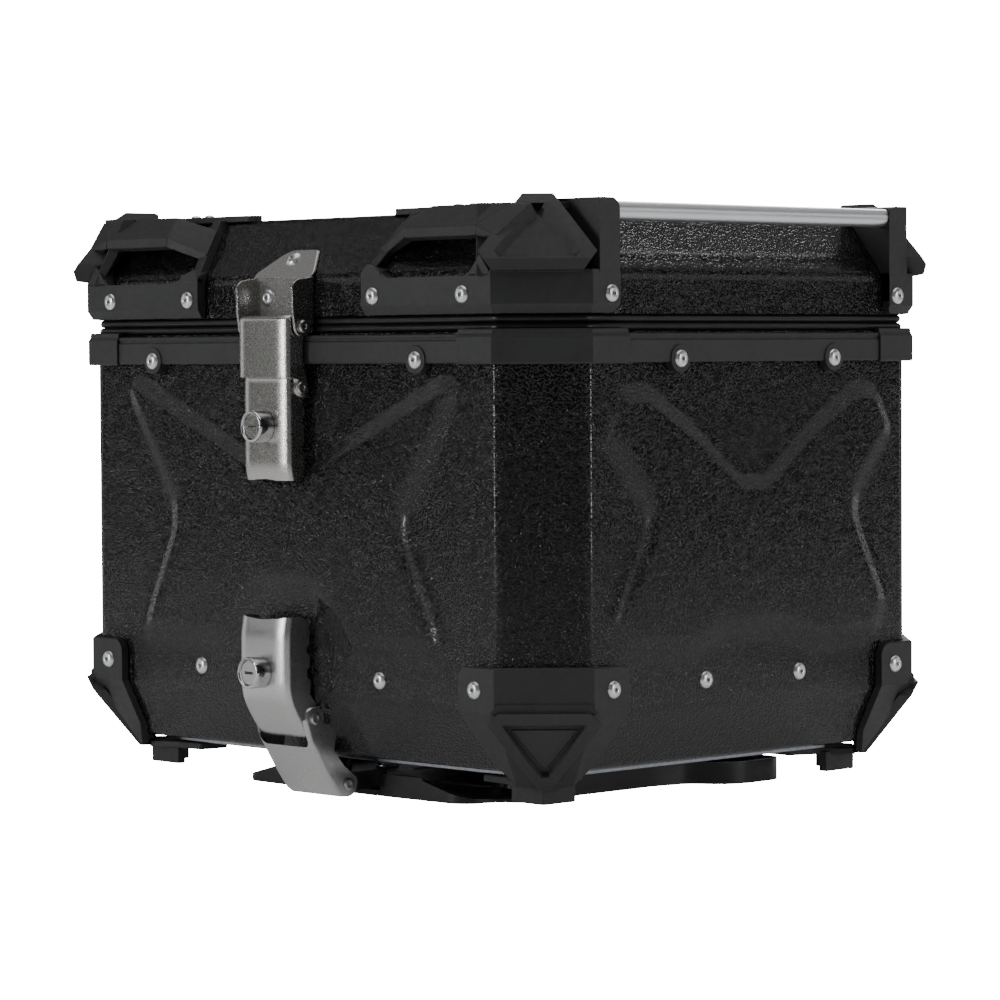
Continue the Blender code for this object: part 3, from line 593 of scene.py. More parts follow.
def corner_point(s, z, w):
    """A point on the cut corner: s along it from its middle, z up, w outwards from its plane."""
    s, d = s + CORNER_MIDDLE, CORNER_DISTANCE + w
    return ((s + d) * ROOT_HALF, (s - d) * ROOT_HALF, z)


def lid_inset(z):
    return LID_SLOPE * max(0, z - LID_FOLD)


# Sheet-metal shells ----


def outline_distance(points, outline):
    """Signed distance to a closed outline, positive inside."""
    best = np.full(points.shape[0], 1e9)
    inside = np.zeros(points.shape[0], bool)
    for i in range(len(outline)):
        a, b = np.array(outline[i - 1], float), np.array(outline[i], float)
        along = b - a
        if along @ along < 1e-9:
            continue
        t = np.clip(((points - a) @ along) / (along @ along), 0, 1)
        best = np.minimum(best, np.hypot(*(points - a - t[:, None] * along).T))
        crosses = (a[1] > points[:, 1]) != (b[1] > points[:, 1])
        if a[1] != b[1]:
            at = a[0] + (points[:, 1] - a[1]) * along[0] / along[1]
            inside ^= crosses & (points[:, 0] < at)
    return np.where(inside, best, -best)


def relief_height(across, up, half_outline):
    outline = list(half_outline) + [(-u, v) for u, v in reversed(half_outline)]
    total = np.zeros(len(across))
    shifts = (-3, 0, 3)
    for du in shifts:
        for dv in shifts:
            spots = np.stack([across + du, up + dv], axis=1)
            t = np.clip(outline_distance(spots, outline) / RELIEF_RAMP + 0.5, 0, 1)
            total += t * t * (3 - 2 * t)
    return RELIEF_DEPTH * total / len(shifts) ** 2


def subdivided(profile, step):
    out = []
    for a, b in zip(profile, profile[1:]):
        count = max(1, round(math.dist(a, b) / step))
        out += [(a[0] + (b[0] - a[0]) * k / count, a[1] + (b[1] - a[1]) * k / count) for k in range(count)]
    return out + [profile[-1]]


def ring_points(inset, radius, counts, arc_steps=4):
    """Plan points round the octagon with rounded upright corners; counts are the steps on each side."""
    corners = octagon(inset)
    sides = len(corners)
    points = []
    for i in range(sides):
        here = Vector(corners[i])
        before = (Vector(corners[i - 1]) - here).normalized()
        after = (Vector(corners[(i + 1) % sides]) - here).normalized()
        start, end = here + before * radius, here + after * radius
        points += eased(start, here, end, arc_steps)
        following = Vector(corners[(i + 1) % sides])
        stop = following - after * radius
        for k in range(1, counts[i]):
            points.append(end + (stop - end) * k / counts[i])
    return points


def shell(name, profile, step, radius, relief, body, node, cap):
    profile = subdivided(profile, step)
    corners = octagon(0)
    counts = []
    for i, corner in enumerate(corners):
        counts.append(max(2, round(math.dist(corner, corners[(i + 1) % len(corners)]) / step)))
    rows = []
    for inset, z in profile:
        plan = np.array([tuple(p) for p in ring_points(inset, radius, counts)])
        rows.append(np.column_stack([plan, np.full(len(plan), z)]))
    grid = np.array(rows)
    if relief:
        flat = grid.reshape(-1, 3)
        upright = flat[:, 2] > BODY_FOLD + 4
        for axis, half, outline in ((1, HALF_Y, FRONT_RELIEF), (0, HALF_X, SIDE_RELIEF)):
            on_face = upright & (np.abs(np.abs(flat[:, axis]) - half) < 0.01)
            height = relief_height(flat[on_face, 1 - axis], flat[on_face, 2], outline)
            flat[on_face, axis] += np.sign(flat[on_face, axis]) * height
        grid = flat.reshape(grid.shape)
    work = bmesh.new()
    lines = [[work.verts.new(Vector(p) * MM) for p in row] for row in grid]
    skin(work, lines)
    if cap == "first":
        work.faces.new(list(reversed(lines[0])))
    if cap == "last":
        work.faces.new(lines[-1])
    work.normal_update()
    holder = placed(stored(work))
    solid = holder.modifiers.new("Solidify", "SOLIDIFY")
    solid.thickness = SHEET * MM
    solid.offset = -1
    mesh = baked(holder)
    return piece(name, mesh, "powder_coat", body, [node], 0, smooth=50)


def case_shell():
    profile = [(BOTTOM_INSET + 6, BODY_BOTTOM), (BOTTOM_INSET, BODY_BOTTOM), (0, BODY_FOLD), (0, BODY_TOP)]
    step = 2.4
    shell("case_shell", smooth_line(profile, 4, 5, 1), step, 4, True, "case", "body_shell", "first")


def lid_cover():
    top = lid_inset(LID_TOP)
    profile = [(0, LID_BOTTOM), (0, LID_FOLD), (top, LID_TOP), (top + 8, LID_TOP)]
    shell("lid_cover", smooth_line(profile, 4.5, 5, 1), 4, 4, False, "lid", "lid_shell", "last")


def lid_gasket():
    """Rubber seal with two lips, seen in the gap under the lid."""
    low, high = BODY_TOP + 0.1, LID_BOTTOM - 0.1
    middle = (low + high) / 2
    lips = arc((2.6, (low + middle) / 2), (middle - low) / 2, -90, -270, 8)
    lips += arc((3, (high + middle) / 2), (high - middle) / 2, -90, -270, 8)
    profile = [(7, low), *lips, (7, high)]
    counts = [1] * 8
    stations = []
    rings = [ring_points(inset, 4, counts) for inset, _ in profile]
    for i in range(len(rings[0])):
        stations.append([(*ring[i], z) for ring, (_, z) in zip(rings, profile)])
    piece("lid_gasket", swept(stations, True), "rubber", "lid", ["lid_seal"], 0, smooth=40)


# Rim ----

STRIP_PROFILE = [
    (0.3, STRIP_LOW), (3.9, STRIP_LOW), (4.5, STRIP_LOW + 0.8), (4.5, 250.6), (3.7, 251.3), (3.7, 252.2),
    (4.3, 252.8), (4.3, 253.9), (3.7, STRIP_HIGH), (0.3, STRIP_HIGH),
]
RIM_PROFILE = [
    (0.3, RIM_LOW), (4.9, RIM_LOW), (5.6, RIM_LOW + 0.9), (5.6, 252.6), (4.4, 254.6), (4.4, 256.4),
    (3.8, RIM_HIGH), (0.3, RIM_HIGH),
]


def rim_strip(node, plane, half_length, bosses, wall, hand, end, spot):
    """A strip with a round boss under each rivet. spot places a point along it, out from the wall and up."""
    shapes = [swept([[spot(along, proud, z) for proud, z in STRIP_PROFILE] for along in (-half_length,
                                                                                         half_length)])]
    for boss in (-bosses, bosses):
        disc = slab(plane, circle((boss, BOSS_Z), BOSS_RADIUS, 40), wall + 0.3, wall + BOSS_PROUD)
        shapes.append(mirrored(disc, hand, end))
    piece(node.replace("strip", "trim"), shapes, "plastic", "case", [node], 0.35)


def rim():
    for side, node in ((-1, "rim_strip_front"), (1, "rim_strip_rear")):
        rim_strip(node, "XZ", STRIP_HALF_X, RIM_RIVET_X, HALF_Y, 1, side,
                  lambda along, proud, z: (along, side * (HALF_Y + proud), z))
    for side, node in ((1, "rim_strip_right"), (-1, "rim_strip_left")):
        rim_strip(node, "YZ", STRIP_HALF_Y, RIM_RIVET_Y, HALF_X, side, -1,
                  lambda along, proud, z: (side * (HALF_X + proud), along, z))
    corner = corner_swept(RIM_PROFILE, STRIP_HALF_X + 0.4, STRIP_HALF_Y + 0.4)
    corner_pieces("rim_cap", "rim_corner", corner, "plastic", "case", 0.5, 2)


# Foot guards ----


def foot_guards():
    slope = BOTTOM_INSET / (BODY_FOLD - BODY_BOTTOM)

    def facet(z):
        return -slope * max(0, BODY_FOLD - z)

    def on_facet(s, z, proud):
        return corner_point(s, z, facet(z) + proud)

    low = 17
    upper = [(0.3, BODY_FOLD), (4.9, BODY_FOLD), (4.9, 80.7), (4.2, 81.5), (0.3, 81.5)]
    lower = [
        (0.3, BODY_FOLD + 0.2, 141, 100.6), (facet(31) + 0.4, 31, 147, 105.6),
        (facet(low) + 0.4, low, 157, 115), (facet(low) + 5, low, 157, 115),
        (facet(31) + 5, 31, 147, 105.6), (4.9, BODY_FOLD + 0.2, 141, 100.6),
    ]
    # What rounds off the upper outer corner of each tab.
    front_round = [(139, 84), (139, 73.5), *arc((148.8, 73.5), 8, 180, 90, 8), (148.8, 84)]
    front_round = slab("XZ", front_round, HALF_Y - 2, HALF_Y + 9)
    side_round = [(-98.4, 84), (-98.4, 73.5), *arc((-108.4, 73.5), 8, 0, 90, 8), (-108.4, 84)]
    side_round = slab("YZ", side_round, HALF_X - 2, HALF_X + 9)
    shapes = [cut_by(corner_swept(upper, 141, 100.6), front_round, side_round), corner_swept(lower, 0, 0)]

    # The raised V on the corner: a frame, and a triangle set back inside it.
    outer = [(-24, 58.2), (24, 58.2), (29.7, 50.8), (3.6, 15.9), (-3.6, 15.9), (-29.7, 50.8)]
    block = hull([on_facet(s, z, p) for s, z in outer for p in (1.5, 9)])
    floor = [(-19.8, 50.2), (19.8, 50.2), (1.6, 25.4), (-1.6, 25.4)]
    mouth = [(-23, 52.6), (23, 52.6), (3, 21.4), (-3, 21.4)]
    recess = hull([on_facet(s, z, 4.6) for s, z in floor] + [on_facet(s, z, 10.4) for s, z in mouth])
    shapes.append(cut_by(block, recess))
    island = [(-17.6, 49), (17.6, 49), (1, 27), (-1, 27)]
    shapes.append(hull([on_facet(s, z, p) for s, z in island for p in (3, 5.9)]))
    shapes.append(hull([corner_point(s, z, w) for s, z, w in (
        (-24.2, 63, 4.4), (24.2, 63, 4.4), (-24.2, 62.6, 6.2), (24.2, 62.6, 6.2), (-28.6, 57.6, 6.2),
        (28.6, 57.6, 6.2), (-28.6, 57, 3), (28.6, 57, 3))]))
    sole = [(116, -106), (132, -98), (136, -82), (152, -82), (158, -98), (174, -114),
            (155.5, -132.5), (137.5, -125.5), (118, -124.5)]
    shapes.append(slab("XY", softened(sole, 2), 16, 19.8))
    wall = 5.5
    leg = [(139.5, -124), (164, -124), (164, -100), (164 - wall, -100), (164 - wall, wall - 124),
           (139.5, wall - 124)]
    shapes.append(slab("XY", leg, FOOT_LOW, 18))
    corner_pieces("corner_guard", "foot_guard", shapes, "plastic", "case", 0.7, 3)


# Lid brackets ----


def bracket_shapes():
    low = BRACKET_LOW
    left, back = 68.5, 107
    band = corner_swept([
        (0.3, low), (3, low), (5.9, low + 4.8), (5.9, 285), (5.2, 287.4), (0.3, 287.4),
    ], left, back)
    corner_round = slab("YZ", [(-back + 1, low - 1), (-back - 5.5, low - 1), (-back - 5.5, low),
                               *arc((-back - 5.5, low + 5.5), 5.5, 270, 360, 6), (-back + 1, low + 5.5)],
                        HALF_X - 3, HALF_X + 9)
    window = slab("XZ", softened([(84, 287), (89.5, 284.4), (149.4, 284.4), (155, 290), (155, 300),
                                  (84, 300)], 2), HALF_Y - 3, HALF_Y + 12)
    shapes = [cut_by(band, window, corner_round)]
    y = -HALF_Y

    def at(x, off, z):
        return (x, y - off, z)

    # Grip bar: straight stretch, then the bent end that runs back to the strut on the slope.
    section = [(-10.6, 322.4), (2.4, 310.6), (2.9, 305.4), (-3, 303.6), (-15, 316.5), (-16, 321.8)]
    starts = [107, 99, 99.5, 99.5, 104, 107]
    shapes.append(hull([at(x, o, z) for x, (o, z) in zip(starts, section)]
                       + [at(x, o, z) for x, (o, z) in zip((166, 154, 154, 152, 164, 166), section)]))
    bent = [(77, -16, 314.3), (73, -5, 300.4), (76, -4.5, 297.2), (76, -9, 296.4), (80, -19.5, 311.5)]
    shapes.append(hull([at(x, o, z) for x,
                        (o, z) in zip(starts[:5], section[:5])] + [at(*p) for p in bent]))
    # Right end of the bar, falling towards the corner boss.
    shapes.append(hull([at(154, 2.4, 310.6), at(154, 2.9, 305.4), at(170, 3.4, 304.6), at(171, -2, 300.5),
                        at(160, -8, 305), at(166, -10.6, 322.4), at(178, -14, 321.4), at(178, -20, 312),
                        at(172, -4, 309), at(164, -15, 316)]))

    def on_slope(x, z, proud):
        return at(x, -lid_inset(z) + proud, z)

    # Strut along the slope, and its foot on the band.
    strut = [on_slope(68.7, 286, 5.9), on_slope(75.2, 286, 5.9), on_slope(68.7, 286, -1),
             on_slope(75.2, 286, -1), on_slope(80, 320, 6.2), on_slope(86.5, 320, 6.2),
             on_slope(80, 320, -2), on_slope(86.5, 320, -2)]
    shapes.append(hull(strut))
    shapes.append(hull([at(68.5, 6, 284.5), at(84.5, 6, 284.5), at(84, 6, 287.6), at(72.5, 5.6, 292),
                        at(68.5, 6, 287.5), at(68.5, 0.3, 284.5), at(84.5, 0.3, 284.5), at(82.5, -1.5, 289),
                        at(70, -3.5, 291)]))
    # Top plate on the lid, from the strut round to the side block.
    edge = HALF_Y - lid_inset(LID_TOP)
    plan = [(58, -edge + 3), (62, -edge - 1.2), (80.5, -edge - 1.6), (178, -edge - 1.6), (184, -121),
            (182, -108), (172, -112), (160, -120), (128, -120.5), (96, -121), (66, -122.5), (58, -125)]
    shapes.append(slab("XY", softened(plan, 2), LID_TOP - 0.5, LID_TOP + 3))
    # Wall that closes the band's top behind the window's right end.
    shapes.append(hull([at(150.5, 5.9, 284), at(167, 5.9, 284), at(167, 5.9, 287), at(160.2, 5.9, 295.6),
                        at(155, 5.9, 289.5), at(150.5, -1, 284), at(167, -1, 284), at(163, -9, 298),
                        at(156, -4, 291)]))
    return [*shapes, side_block(back), corner_boss(), corner_web()]


def side_block(back):
    front = -122
    outline = [(front, BRACKET_LOW + 7), (-back, BRACKET_LOW + 7),
               *arc((-back - 6, BRACKET_TOP - 6), 6, 0, 90, 6), (front, BRACKET_TOP)]
    block = slab("YZ", outline, HALF_X - 32, HALF_X + 5.7)
    top_inset = lid_inset(LID_TOP) - 0.2
    slope = hull([(x, y, z) for y in (-142, -90) for x, z in (
        (HALF_X - 60, 240), (HALF_X + 0.2, 240), (HALF_X + 0.2, LID_FOLD), (HALF_X - top_inset, LID_TOP),
        (HALF_X - 60, LID_TOP))])
    bore = turned([(RAIL_RADIUS + 0.5, 20), (0, 20), (0, -20), (RAIL_RADIUS + 0.5, -20)], "Y",
                  (HALF_X, -100, RAIL_Z))
    return cut_by(block, slope, bore)


BOSS_MIDDLE = -2.1
BOSS_SIDE = [(5, 281), (5.8, 286.2), (12.3, 287), (13.5, 292.6), (-7.3, 321.9), (-15, 327.2)]


def boss_face(z):
    """How far the boss's sloping front stands out from the cut corner at this height."""
    (w0, z0), (w1, z1) = BOSS_SIDE[3:5]
    return w0 + (w1 - w0) * (z - z0) / (z1 - z0)


def corner_boss():
    front = [(-30.7, 296.7), (-23.2, 286.1), (-23.2, 281), (23.2, 281), (23.2, 286.1), (30.7, 296.7),
             (7.5, 328), (-7.5, 328)]
    d = CORNER_DISTANCE
    boss = slab("CORNER", front, d - 34, d + 20)
    section = [(d + w, z) for w, z in BOSS_SIDE]
    section += [(d - 32, 326.6), (d - 32, LID_TOP - 1), (d - 27, LID_TOP - 1), (d - 1, 284)]
    side = slab("XZ", section, -36, 36)
    side.transform(Matrix.Rotation(math.radians(-45), 4, "Z"))
    boss = common(boss, side)
    boss.transform(Matrix.Translation(Vector((1, 1, 0)) * ROOT_HALF * (CORNER_MIDDLE + BOSS_MIDDLE) * MM))

    def on_boss(s, z, proud):
        return corner_point(s + BOSS_MIDDLE, z, boss_face(z) + proud)

    floor = [(0, 316.5), (18.4, 294.6), (-18.4, 294.6)]
    mouth = [(3, 320.6), (23.2, 297.6), (20.4, 292.6), (-20.4, 292.6), (-23.2, 297.6), (-3, 320.6)]
    panel = hull([on_boss(s, z, -3) for s, z in floor] + [on_boss(s, z, 0.8) for s, z in mouth])
    notch = hull([on_boss(s, z, p) for s, z, p in (
        (0, 315, -5), (2.6, 321, -5), (-2.6, 321, -5), (0, 315, 1), (3.6, 322, 1),
        (-3.6, 322, 1))])
    return cut_by(boss, panel, notch)


def corner_web():
    """The wall on the lid's edge between the grip bar and the boss."""
    return hull([corner_point(s, z, w) for s in (-34, -10) for z, w in (
        (284, -3), (284, 2), (322.5, -24), (322.5, -16), (300, -5))])


def lid_brackets():
    corner_pieces("lid_bracket", "lid_corner", bracket_shapes(), "plastic", "lid", 0.7, 3)


def rails():
    for hand, side in HANDS:
        half = extent(f"rail_{hand}")[1].y
        profile = both_ends([(0, half), (RAIL_RADIUS - 0.5, half), (RAIL_RADIUS, half - 0.5)])
        tube = turned(profile, "Y", (side * HALF_X, 0, RAIL_Z), 48)
        piece(f"carry_rail_{hand}", tube, "aluminium", "lid", [f"rail_{hand}"], 0)


# Rivets ----

RIVET = [(0, 0.9), (1, 0.9), (1.25, 1.15), (1.25, 1.75), (1.75, 2), (2.6, 1.85), (3.9, 1.25), (4.6, 0.55),
         (4.75, 0), (0, 0)]
MANDREL = [(0, 1.5), (0.75, 1.35), (1, 1), (1, 0.5), (0, 0.5)]
SMALL_RIVET = [(0, 1.6), (1.6, 1.4), (2.6, 0.9), (3, 0), (0, 0)]


def set_out(profile, place, outwards):
    """A turned shape stood at a place, its axis pointing outwards."""
    made = turned(profile, "Z", (0, 0, 0), 28)
    turn = Vector((0, 0, 1)).rotation_difference(Vector(outwards)).to_matrix().to_4x4()
    made.transform(Matrix.Translation(Vector(place) * MM) @ turn)
    return made


def rivet_group(name, spots, body, profile=RIVET, core=MANDREL, finish="rivet"):
    piece(name, [gathered([set_out(profile, *spot) for spot in spots])], finish, body, (), 0, smooth=40)
    if core:
        piece(name + "_cores", [gathered([set_out(core, *spot) for spot in spots])], "mandrel", body, (), 0,
              smooth=40)


def front_and_rear(places, z, proud):
    return [((x, side * (HALF_Y + proud), z), (0, side, 0)) for side in (-1, 1) for x in places]


def both_sides(places, z, proud):
    return [((side * (HALF_X + proud), y, z), (side, 0, 0)) for side in (-1, 1) for y in places]


def rivets():
    case = front_and_rear((-RIM_RIVET_X, RIM_RIVET_X), 240.9, BOSS_PROUD)
    case += both_sides((-RIM_RIVET_Y, RIM_RIVET_Y), 240.9, BOSS_PROUD)
    case += front_and_rear((-74.6, 74.6), 69.5, 0) + both_sides((-37.2, 37.2), 69.5, 0)
    case += front_and_rear((-153.3, 153.3), 69.3, 4.9) + both_sides((-112.3, 112.3), 69.3, 4.9)
    rivet_group("case_rivets", case, "case")
    lid = front_and_rear((-147, -77.6, 77.6, 147), 274.9, 6) + both_sides((-113.5, 113.5), 274.9, 6)
    lid += [((x, -HALF_Y - 2.3, 275.2), (0, -1, 0)) for x in (-12, 12)]
    tilt = Vector((0, -1, LID_SLOPE)).normalized()
    lid.append(((0, -HALF_Y + lid_inset(296.5) - 2, 296.5), tuple(tilt)))
    rivet_group("lid_rivets", lid, "lid")
    small = [((sx * x, sy * y, LID_TOP + 3), (0, 0, 1)) for sx in (-1, 1) for sy in (-1, 1)
             for x, y in ((104, 126), (116, 126))]
    rivet_group("plate_rivets", small, "lid", SMALL_RIVET, None)


# Latches ----

LATCH_SHEET = 1.5


def span_at(outline, z):
    """Where a closed (y, z) outline begins and ends at this height."""
    hits = []
    for a, b in zip(outline, outline[1:] + outline[:1]):
        if min(a[1], b[1]) - 1e-6 <= z <= max(a[1], b[1]) + 1e-6:
            if abs(a[1] - b[1]) < 1e-6:
                hits += [a[0], b[0]]
            else:
                hits.append(a[0] + (b[0] - a[0]) * (z - a[1]) / (b[1] - a[1]))
    return min(hits), max(hits)


def folded_edge(half, y0, bend, crown, inside):
    """From the flange round the bend to the flat of the face, which curves gently just before the bend."""
    lean = math.radians(20)
    end = half - bend + bend * math.sin(lean)
    start = end - crown * math.sin(lean)
    drop = crown * (1 - math.cos(lean)) + bend * math.cos(lean)
    tight = max(bend - inside, 0.3)
    points = []
    for k in range(6):
        t = math.pi / 2 - (math.pi / 2 - lean) * k / 5
        points.append((half - bend + tight * math.sin(t), y0 + drop - tight * math.cos(t)))
    for k in range(1, 6):
        t = lean * (1 - k / 5)
        points.append((start + (crown - inside) * math.sin(t), y0 + crown - (crown - inside) * math.cos(t)))
    return points


def channel(front, back, half, bend=2.6, crown=24, step=1):
    """Folded sheet: a front face along the front line, with a flange on each side as deep as the outline."""
    outline = [*front, *back]
    heights = sorted({round(z, 3) for _, z in outline})
    levels = [heights[0] + 0.02]
    for a, b in zip(heights, heights[1:]):
        count = max(1, round((b - a) / step))
        between = [a + (b - a) * k / count for k in range(1, count + 1)]
        levels += [z for z in between if z > levels[-1] + 0.1]
    levels[-1] = heights[-1] - 0.02
    stations = []
    for z in levels:
        y0, y1 = span_at(outline, z)
        ahead, _ = span_at(outline, min(z + 0.5, levels[-1]))
        behind, _ = span_at(outline, max(z - 0.5, levels[0]))
        lean = math.hypot(1, min(2, abs(ahead - behind)))
        thick = min(LATCH_SHEET * lean, 3.2)
        outer = folded_edge(half, y0, bend, crown, 0)
        y1 = max(y1, outer[0][1] + thick)
        inner = [(x, y + thick - LATCH_SHEET) for x, y in folded_edge(half, y0, bend, crown, LATCH_SHEET)]
        ring = [(half, y1), *outer, *[(-x, y) for x, y in reversed(outer)], (-half, y1),
                (LATCH_SHEET - half, y1)]
        ring += [(-x, y) for x, y in inner] + list(reversed(inner)) + [(half - LATCH_SHEET, y1)]
        stations.append([(x, y, z) for x, y in ring])
    return swept(stations)


def hole(radius, place, axis="Y", reach=8):
    return turned([(radius, reach), (0, reach), (0, -reach), (radius, -reach)], axis, place, 40)


def pin_shape(half, centre, radius=2.2, head=3.7):
    end = half + 1.4
    profile = [(0, end - 0.25), (1.1, end - 0.25), (1.4, end), (head - 0.8, end), (head, end - 0.6),
               (head, half), (radius, half)]
    return turned(both_ends(profile), "X", (0, *centre), 36)


def catch_bar(name, half, y, z):
    profile = both_ends([(0, half), (1.6, half), (1.8, half - 0.2)])
    piece(f"{name}_catch_bar", turned(profile, "X", (0, y, z), 28), "satin", f"{name}_latch_lever",
          [f"{name}_catch_pin"], 0)


def latch_bracket():
    near = HALF_Y + 0.3
    thick = 2
    outline = [(-24, 256), (24, 256), (24, 286.5), (-24, 286.5)]
    plate = slab("XZ", outline, near, near + thick)
    wing = [(-24, 286), (24, 286), (24, 289), (16.5, 301.5), (-4, 301.5), (-10, 299.2), (-24, 289)]
    fold = slab("XZ", softened(wing, 2.6), near, near + thick)
    shear = Matrix.Identity(4)
    shear[1][2] = LID_SLOPE
    shift = Matrix.Translation(Vector((0, 0, LID_FOLD)) * MM)
    fold.transform(shift @ shear @ shift.inverted())
    ear = [
        (-near - 1, 257), (-near - 4.4, 254.9), *arc(UPPER_HANG, 5.8, 250, 185, 7),
        (-173.6, 264), (-174.2, 268), (-174.2, 276), *arc((-168.2, 278.6), 6.6, 165, 90, 6),
        (-near - 1, 286.3),
    ]
    ears = [slab("YZ", ear, side * 23.15 - 0.85, side * 23.15 + 0.85) for side in (-1, 1)]
    shapes = [cut_by(shape, hole(PIN_HOLE, (0, *UPPER_HANG), "X", 40)) for shape in ears]
    piece("lid_latch_bracket", [plate, fold, *shapes], "stainless", "lid", ["latch_bracket"], 0.5, 3)
    piece("upper_hang_rivet", pin_shape(24.3, UPPER_HANG), "satin", "lid", ["upper_hang_pin"], 0)


def upper_latch():
    hang, elbow = UPPER_HANG, UPPER_ELBOW
    front = smooth_line([(-174.6, 265.4), (-176.75, 263.8), (-176.75, 231.8)], 1)
    back = [(-171.8, 231.8), (-171, 229.5), *arc(elbow, 5.2, 175, 375, 10), (-162.9, 233), (-164.6, 238),
            (-164.6, 252), *arc(hang, 5.6, -40, 90, 8)]
    link = channel(front, back, 21)
    piece("upper_strap", link, "stainless", "upper_latch_link", ["upper_link"], 0.3, 2)
    piece("upper_elbow_rivet", pin_shape(21.3, elbow), "satin", "upper_latch_link", ["upper_elbow_pin"], 0)
    front = smooth_line([(UPPER_FACE + 0.6, 232.6), (UPPER_FACE, 229.5), (UPPER_FACE, 183),
                         (UPPER_FACE + 1.6, 175.5)], 4)
    back = [(-165.6, 175.5), (-162.6, 178.5), (-162, 183), (-162, 190.5), (-163.6, 192.4), (-163.4, 195),
            (-162.2, 197), (-162.2, 205.5), (-163.2, 206.6), (-163.2, 209.4), (-162, 210.6), (-162, 214),
            (-163, 218), *arc(elbow, 5.2, -40, 90, 8)]
    lever = channel(front, back, 19.1)
    dish = turned([(0, 9), (8.7, 9), (8.7, -0.55), (0, -0.55)], "Y", (0, UPPER_FACE, UPPER_LOCK_Z), 48)
    lever = cut_by(lever, hole(LOCK_HOLE, (0, UPPER_FACE, UPPER_LOCK_Z)), dish)
    lip = slab("XZ", softened([(-19.1, 174), (-10, 175.9), (0, 176.4), (9, 175.4), (14, 172), (-19.1, 160)],
                              2), 160, 185)
    piece("upper_toggle", cut_by(lever, lip), "stainless", "upper_latch_lever", ["upper_lever"], 0.3, 2)
    catch_bar("upper", 17, -168.9, 214.5)


def lower_latch():
    hang, elbow = LOWER_HANG, LOWER_ELBOW
    front = smooth_line([(-166.4, 45), (-165.2, 40.2), (-162.9, 33.1), (-159.9, 28.8), (-151.5, 15),
                         (-143.2, 3.6), (-139.4, 1)], 5)
    back = [*arc(hang, 7, 268, 390, 10), (-137.6, 18), (-141.5, 22.5), (-144.9, 27.3), (-143.4, 37.4),
            (-148, 42), *arc(elbow, 6.6, -30, 150, 12)]
    link = channel(front, back, 21.9, 2.8, 6)
    window = slab("XZ", rounded((0, 49.6), 20, 20, 4.5), 150, 180)
    piece("lower_strap", cut_by(link, window), "satin", "lower_latch_link", ["lower_link"], 0.35, 2)
    piece("lower_elbow_rivet", pin_shape(22.1, elbow, head=3.4), "satin", "lower_latch_link",
          ["lower_elbow_pin"], 0)
    front = smooth_line([(LOWER_FACE + 1.6, 101.5), (LOWER_FACE, 92), (LOWER_FACE, 64), (-177.3, 56),
                         (-173.6, 48.5), (-168.6, 41), (-165, 36.8), (-162.4, 35.2)], 4)
    back = [*arc(elbow, 5.3, 262, 377, 8), (-156, 53), (-160.5, 59), (-160, 64.5), (-160.2, 67),
            (-162.4, 68.6), (-162.4, 72.4), (-160.6, 74), (-160.6, 80), (-162.6, 82), (-162.6, 84.5),
            (-160.8, 87), (-160.8, 95), (-163, 99.6), (-166, 101.5)]
    lever = channel(front, back, 20, 3.4)
    heel = slab("YZ", [(-161.3, 30), (-148, 30), (-148, 40.6), (-160.6, 40.6)], -30, 30)
    lever = cut_by(lever, hole(LOCK_HOLE, (0, LOWER_FACE, LOWER_LOCK_Z)), heel)
    lip = slab("XZ", softened([(-22, 102), (-12, 100.6), (0, 99.8), (12, 100.6), (22, 102), (22, 112),
                               (-22, 112)], 3), 150, 190)
    piece("lower_toggle", cut_by(lever, lip), "satin", "lower_latch_lever", ["lower_lever"], 0.35, 2)
    catch_bar("lower", 17.6, -169.6, 94.5)
    piece("lower_hang_rivet", pin_shape(22.1, hang, head=3.4), "satin", "base", ["lower_hang_pin"], 0)


def locks():
    for name, face, z, slot_half in (("upper", UPPER_FACE, UPPER_LOCK_Z, 0.35),
                                     ("lower", LOWER_FACE, LOWER_LOCK_Z, 0.7)):
        out = 9.8
        barrel = [(7, out - 2.4), (7, out - 0.5), (7.4, out), (8, out), (8.5, out - 0.5), (8.75, out - 1.4),
                  (8.75, 0.3), (6, 0.3), (6, -6.5), (4.7, -6.5), (4.7, out - 2.4)]
        piece(f"{name}_lock_case", turned(barrel, "Y", (0, face, z), 64), "chrome", f"{name}_latch_lever",
              [f"{name}_lock_barrel"], 0, smooth=50)
        plug = turned([(0, out - 1.1), (6.3, out - 1.1), (6.7, out - 1.5), (6.7, out - 2.2),
                       (4.4, out - 2.2), (4.4, -7), (0, -7)], "Y", (0, face, z), 48)
        key = slab("XZ", [(-3.6, z - slot_half), (3.6, z - slot_half), (3.6, z + slot_half),
                          (-3.6, z + slot_half)],
                   -face + out - 5, -face + out + 2)
        tail = slab("XZ", rounded((0, z - 3), 3, 6.5, 2.9), -face - 8.5, -face - 6.7)
        piece(f"{name}_lock_core", [cut_by(plug, key), tail], "satin" if name == "lower" else "stainless",
              f"{name}_latch_key", [f"{name}_lock_plug"], 0.12, 2)


# Base ----


# Middle, and half the length along X and Y, of the slots on the plate's +X half.
PLATE_SLOTS = [(118, 72, 5, 11), (40, -62, 17, 5), (40, 50, 17, 5), (40, -12, 6, 17)]


def base_outline(inset):
    half = [
        (30, -116 + inset), (84, -114 + inset), (92 - inset, -108 + inset), (96 - inset, -92),
        (110 - inset, -84), (116 - inset, -72), (105 - inset, -58), (105 - inset, 20),
        (110 - inset, 44), (126 - inset, 54), (132 - inset, 66), (132 - inset, 92),
        (126 - inset, 102 - inset), (108, 102 - inset), (96, 92 - inset), (30, 90 - inset),
    ]
    return softened(half + [(-x, y) for x, y in reversed(half)], 6)


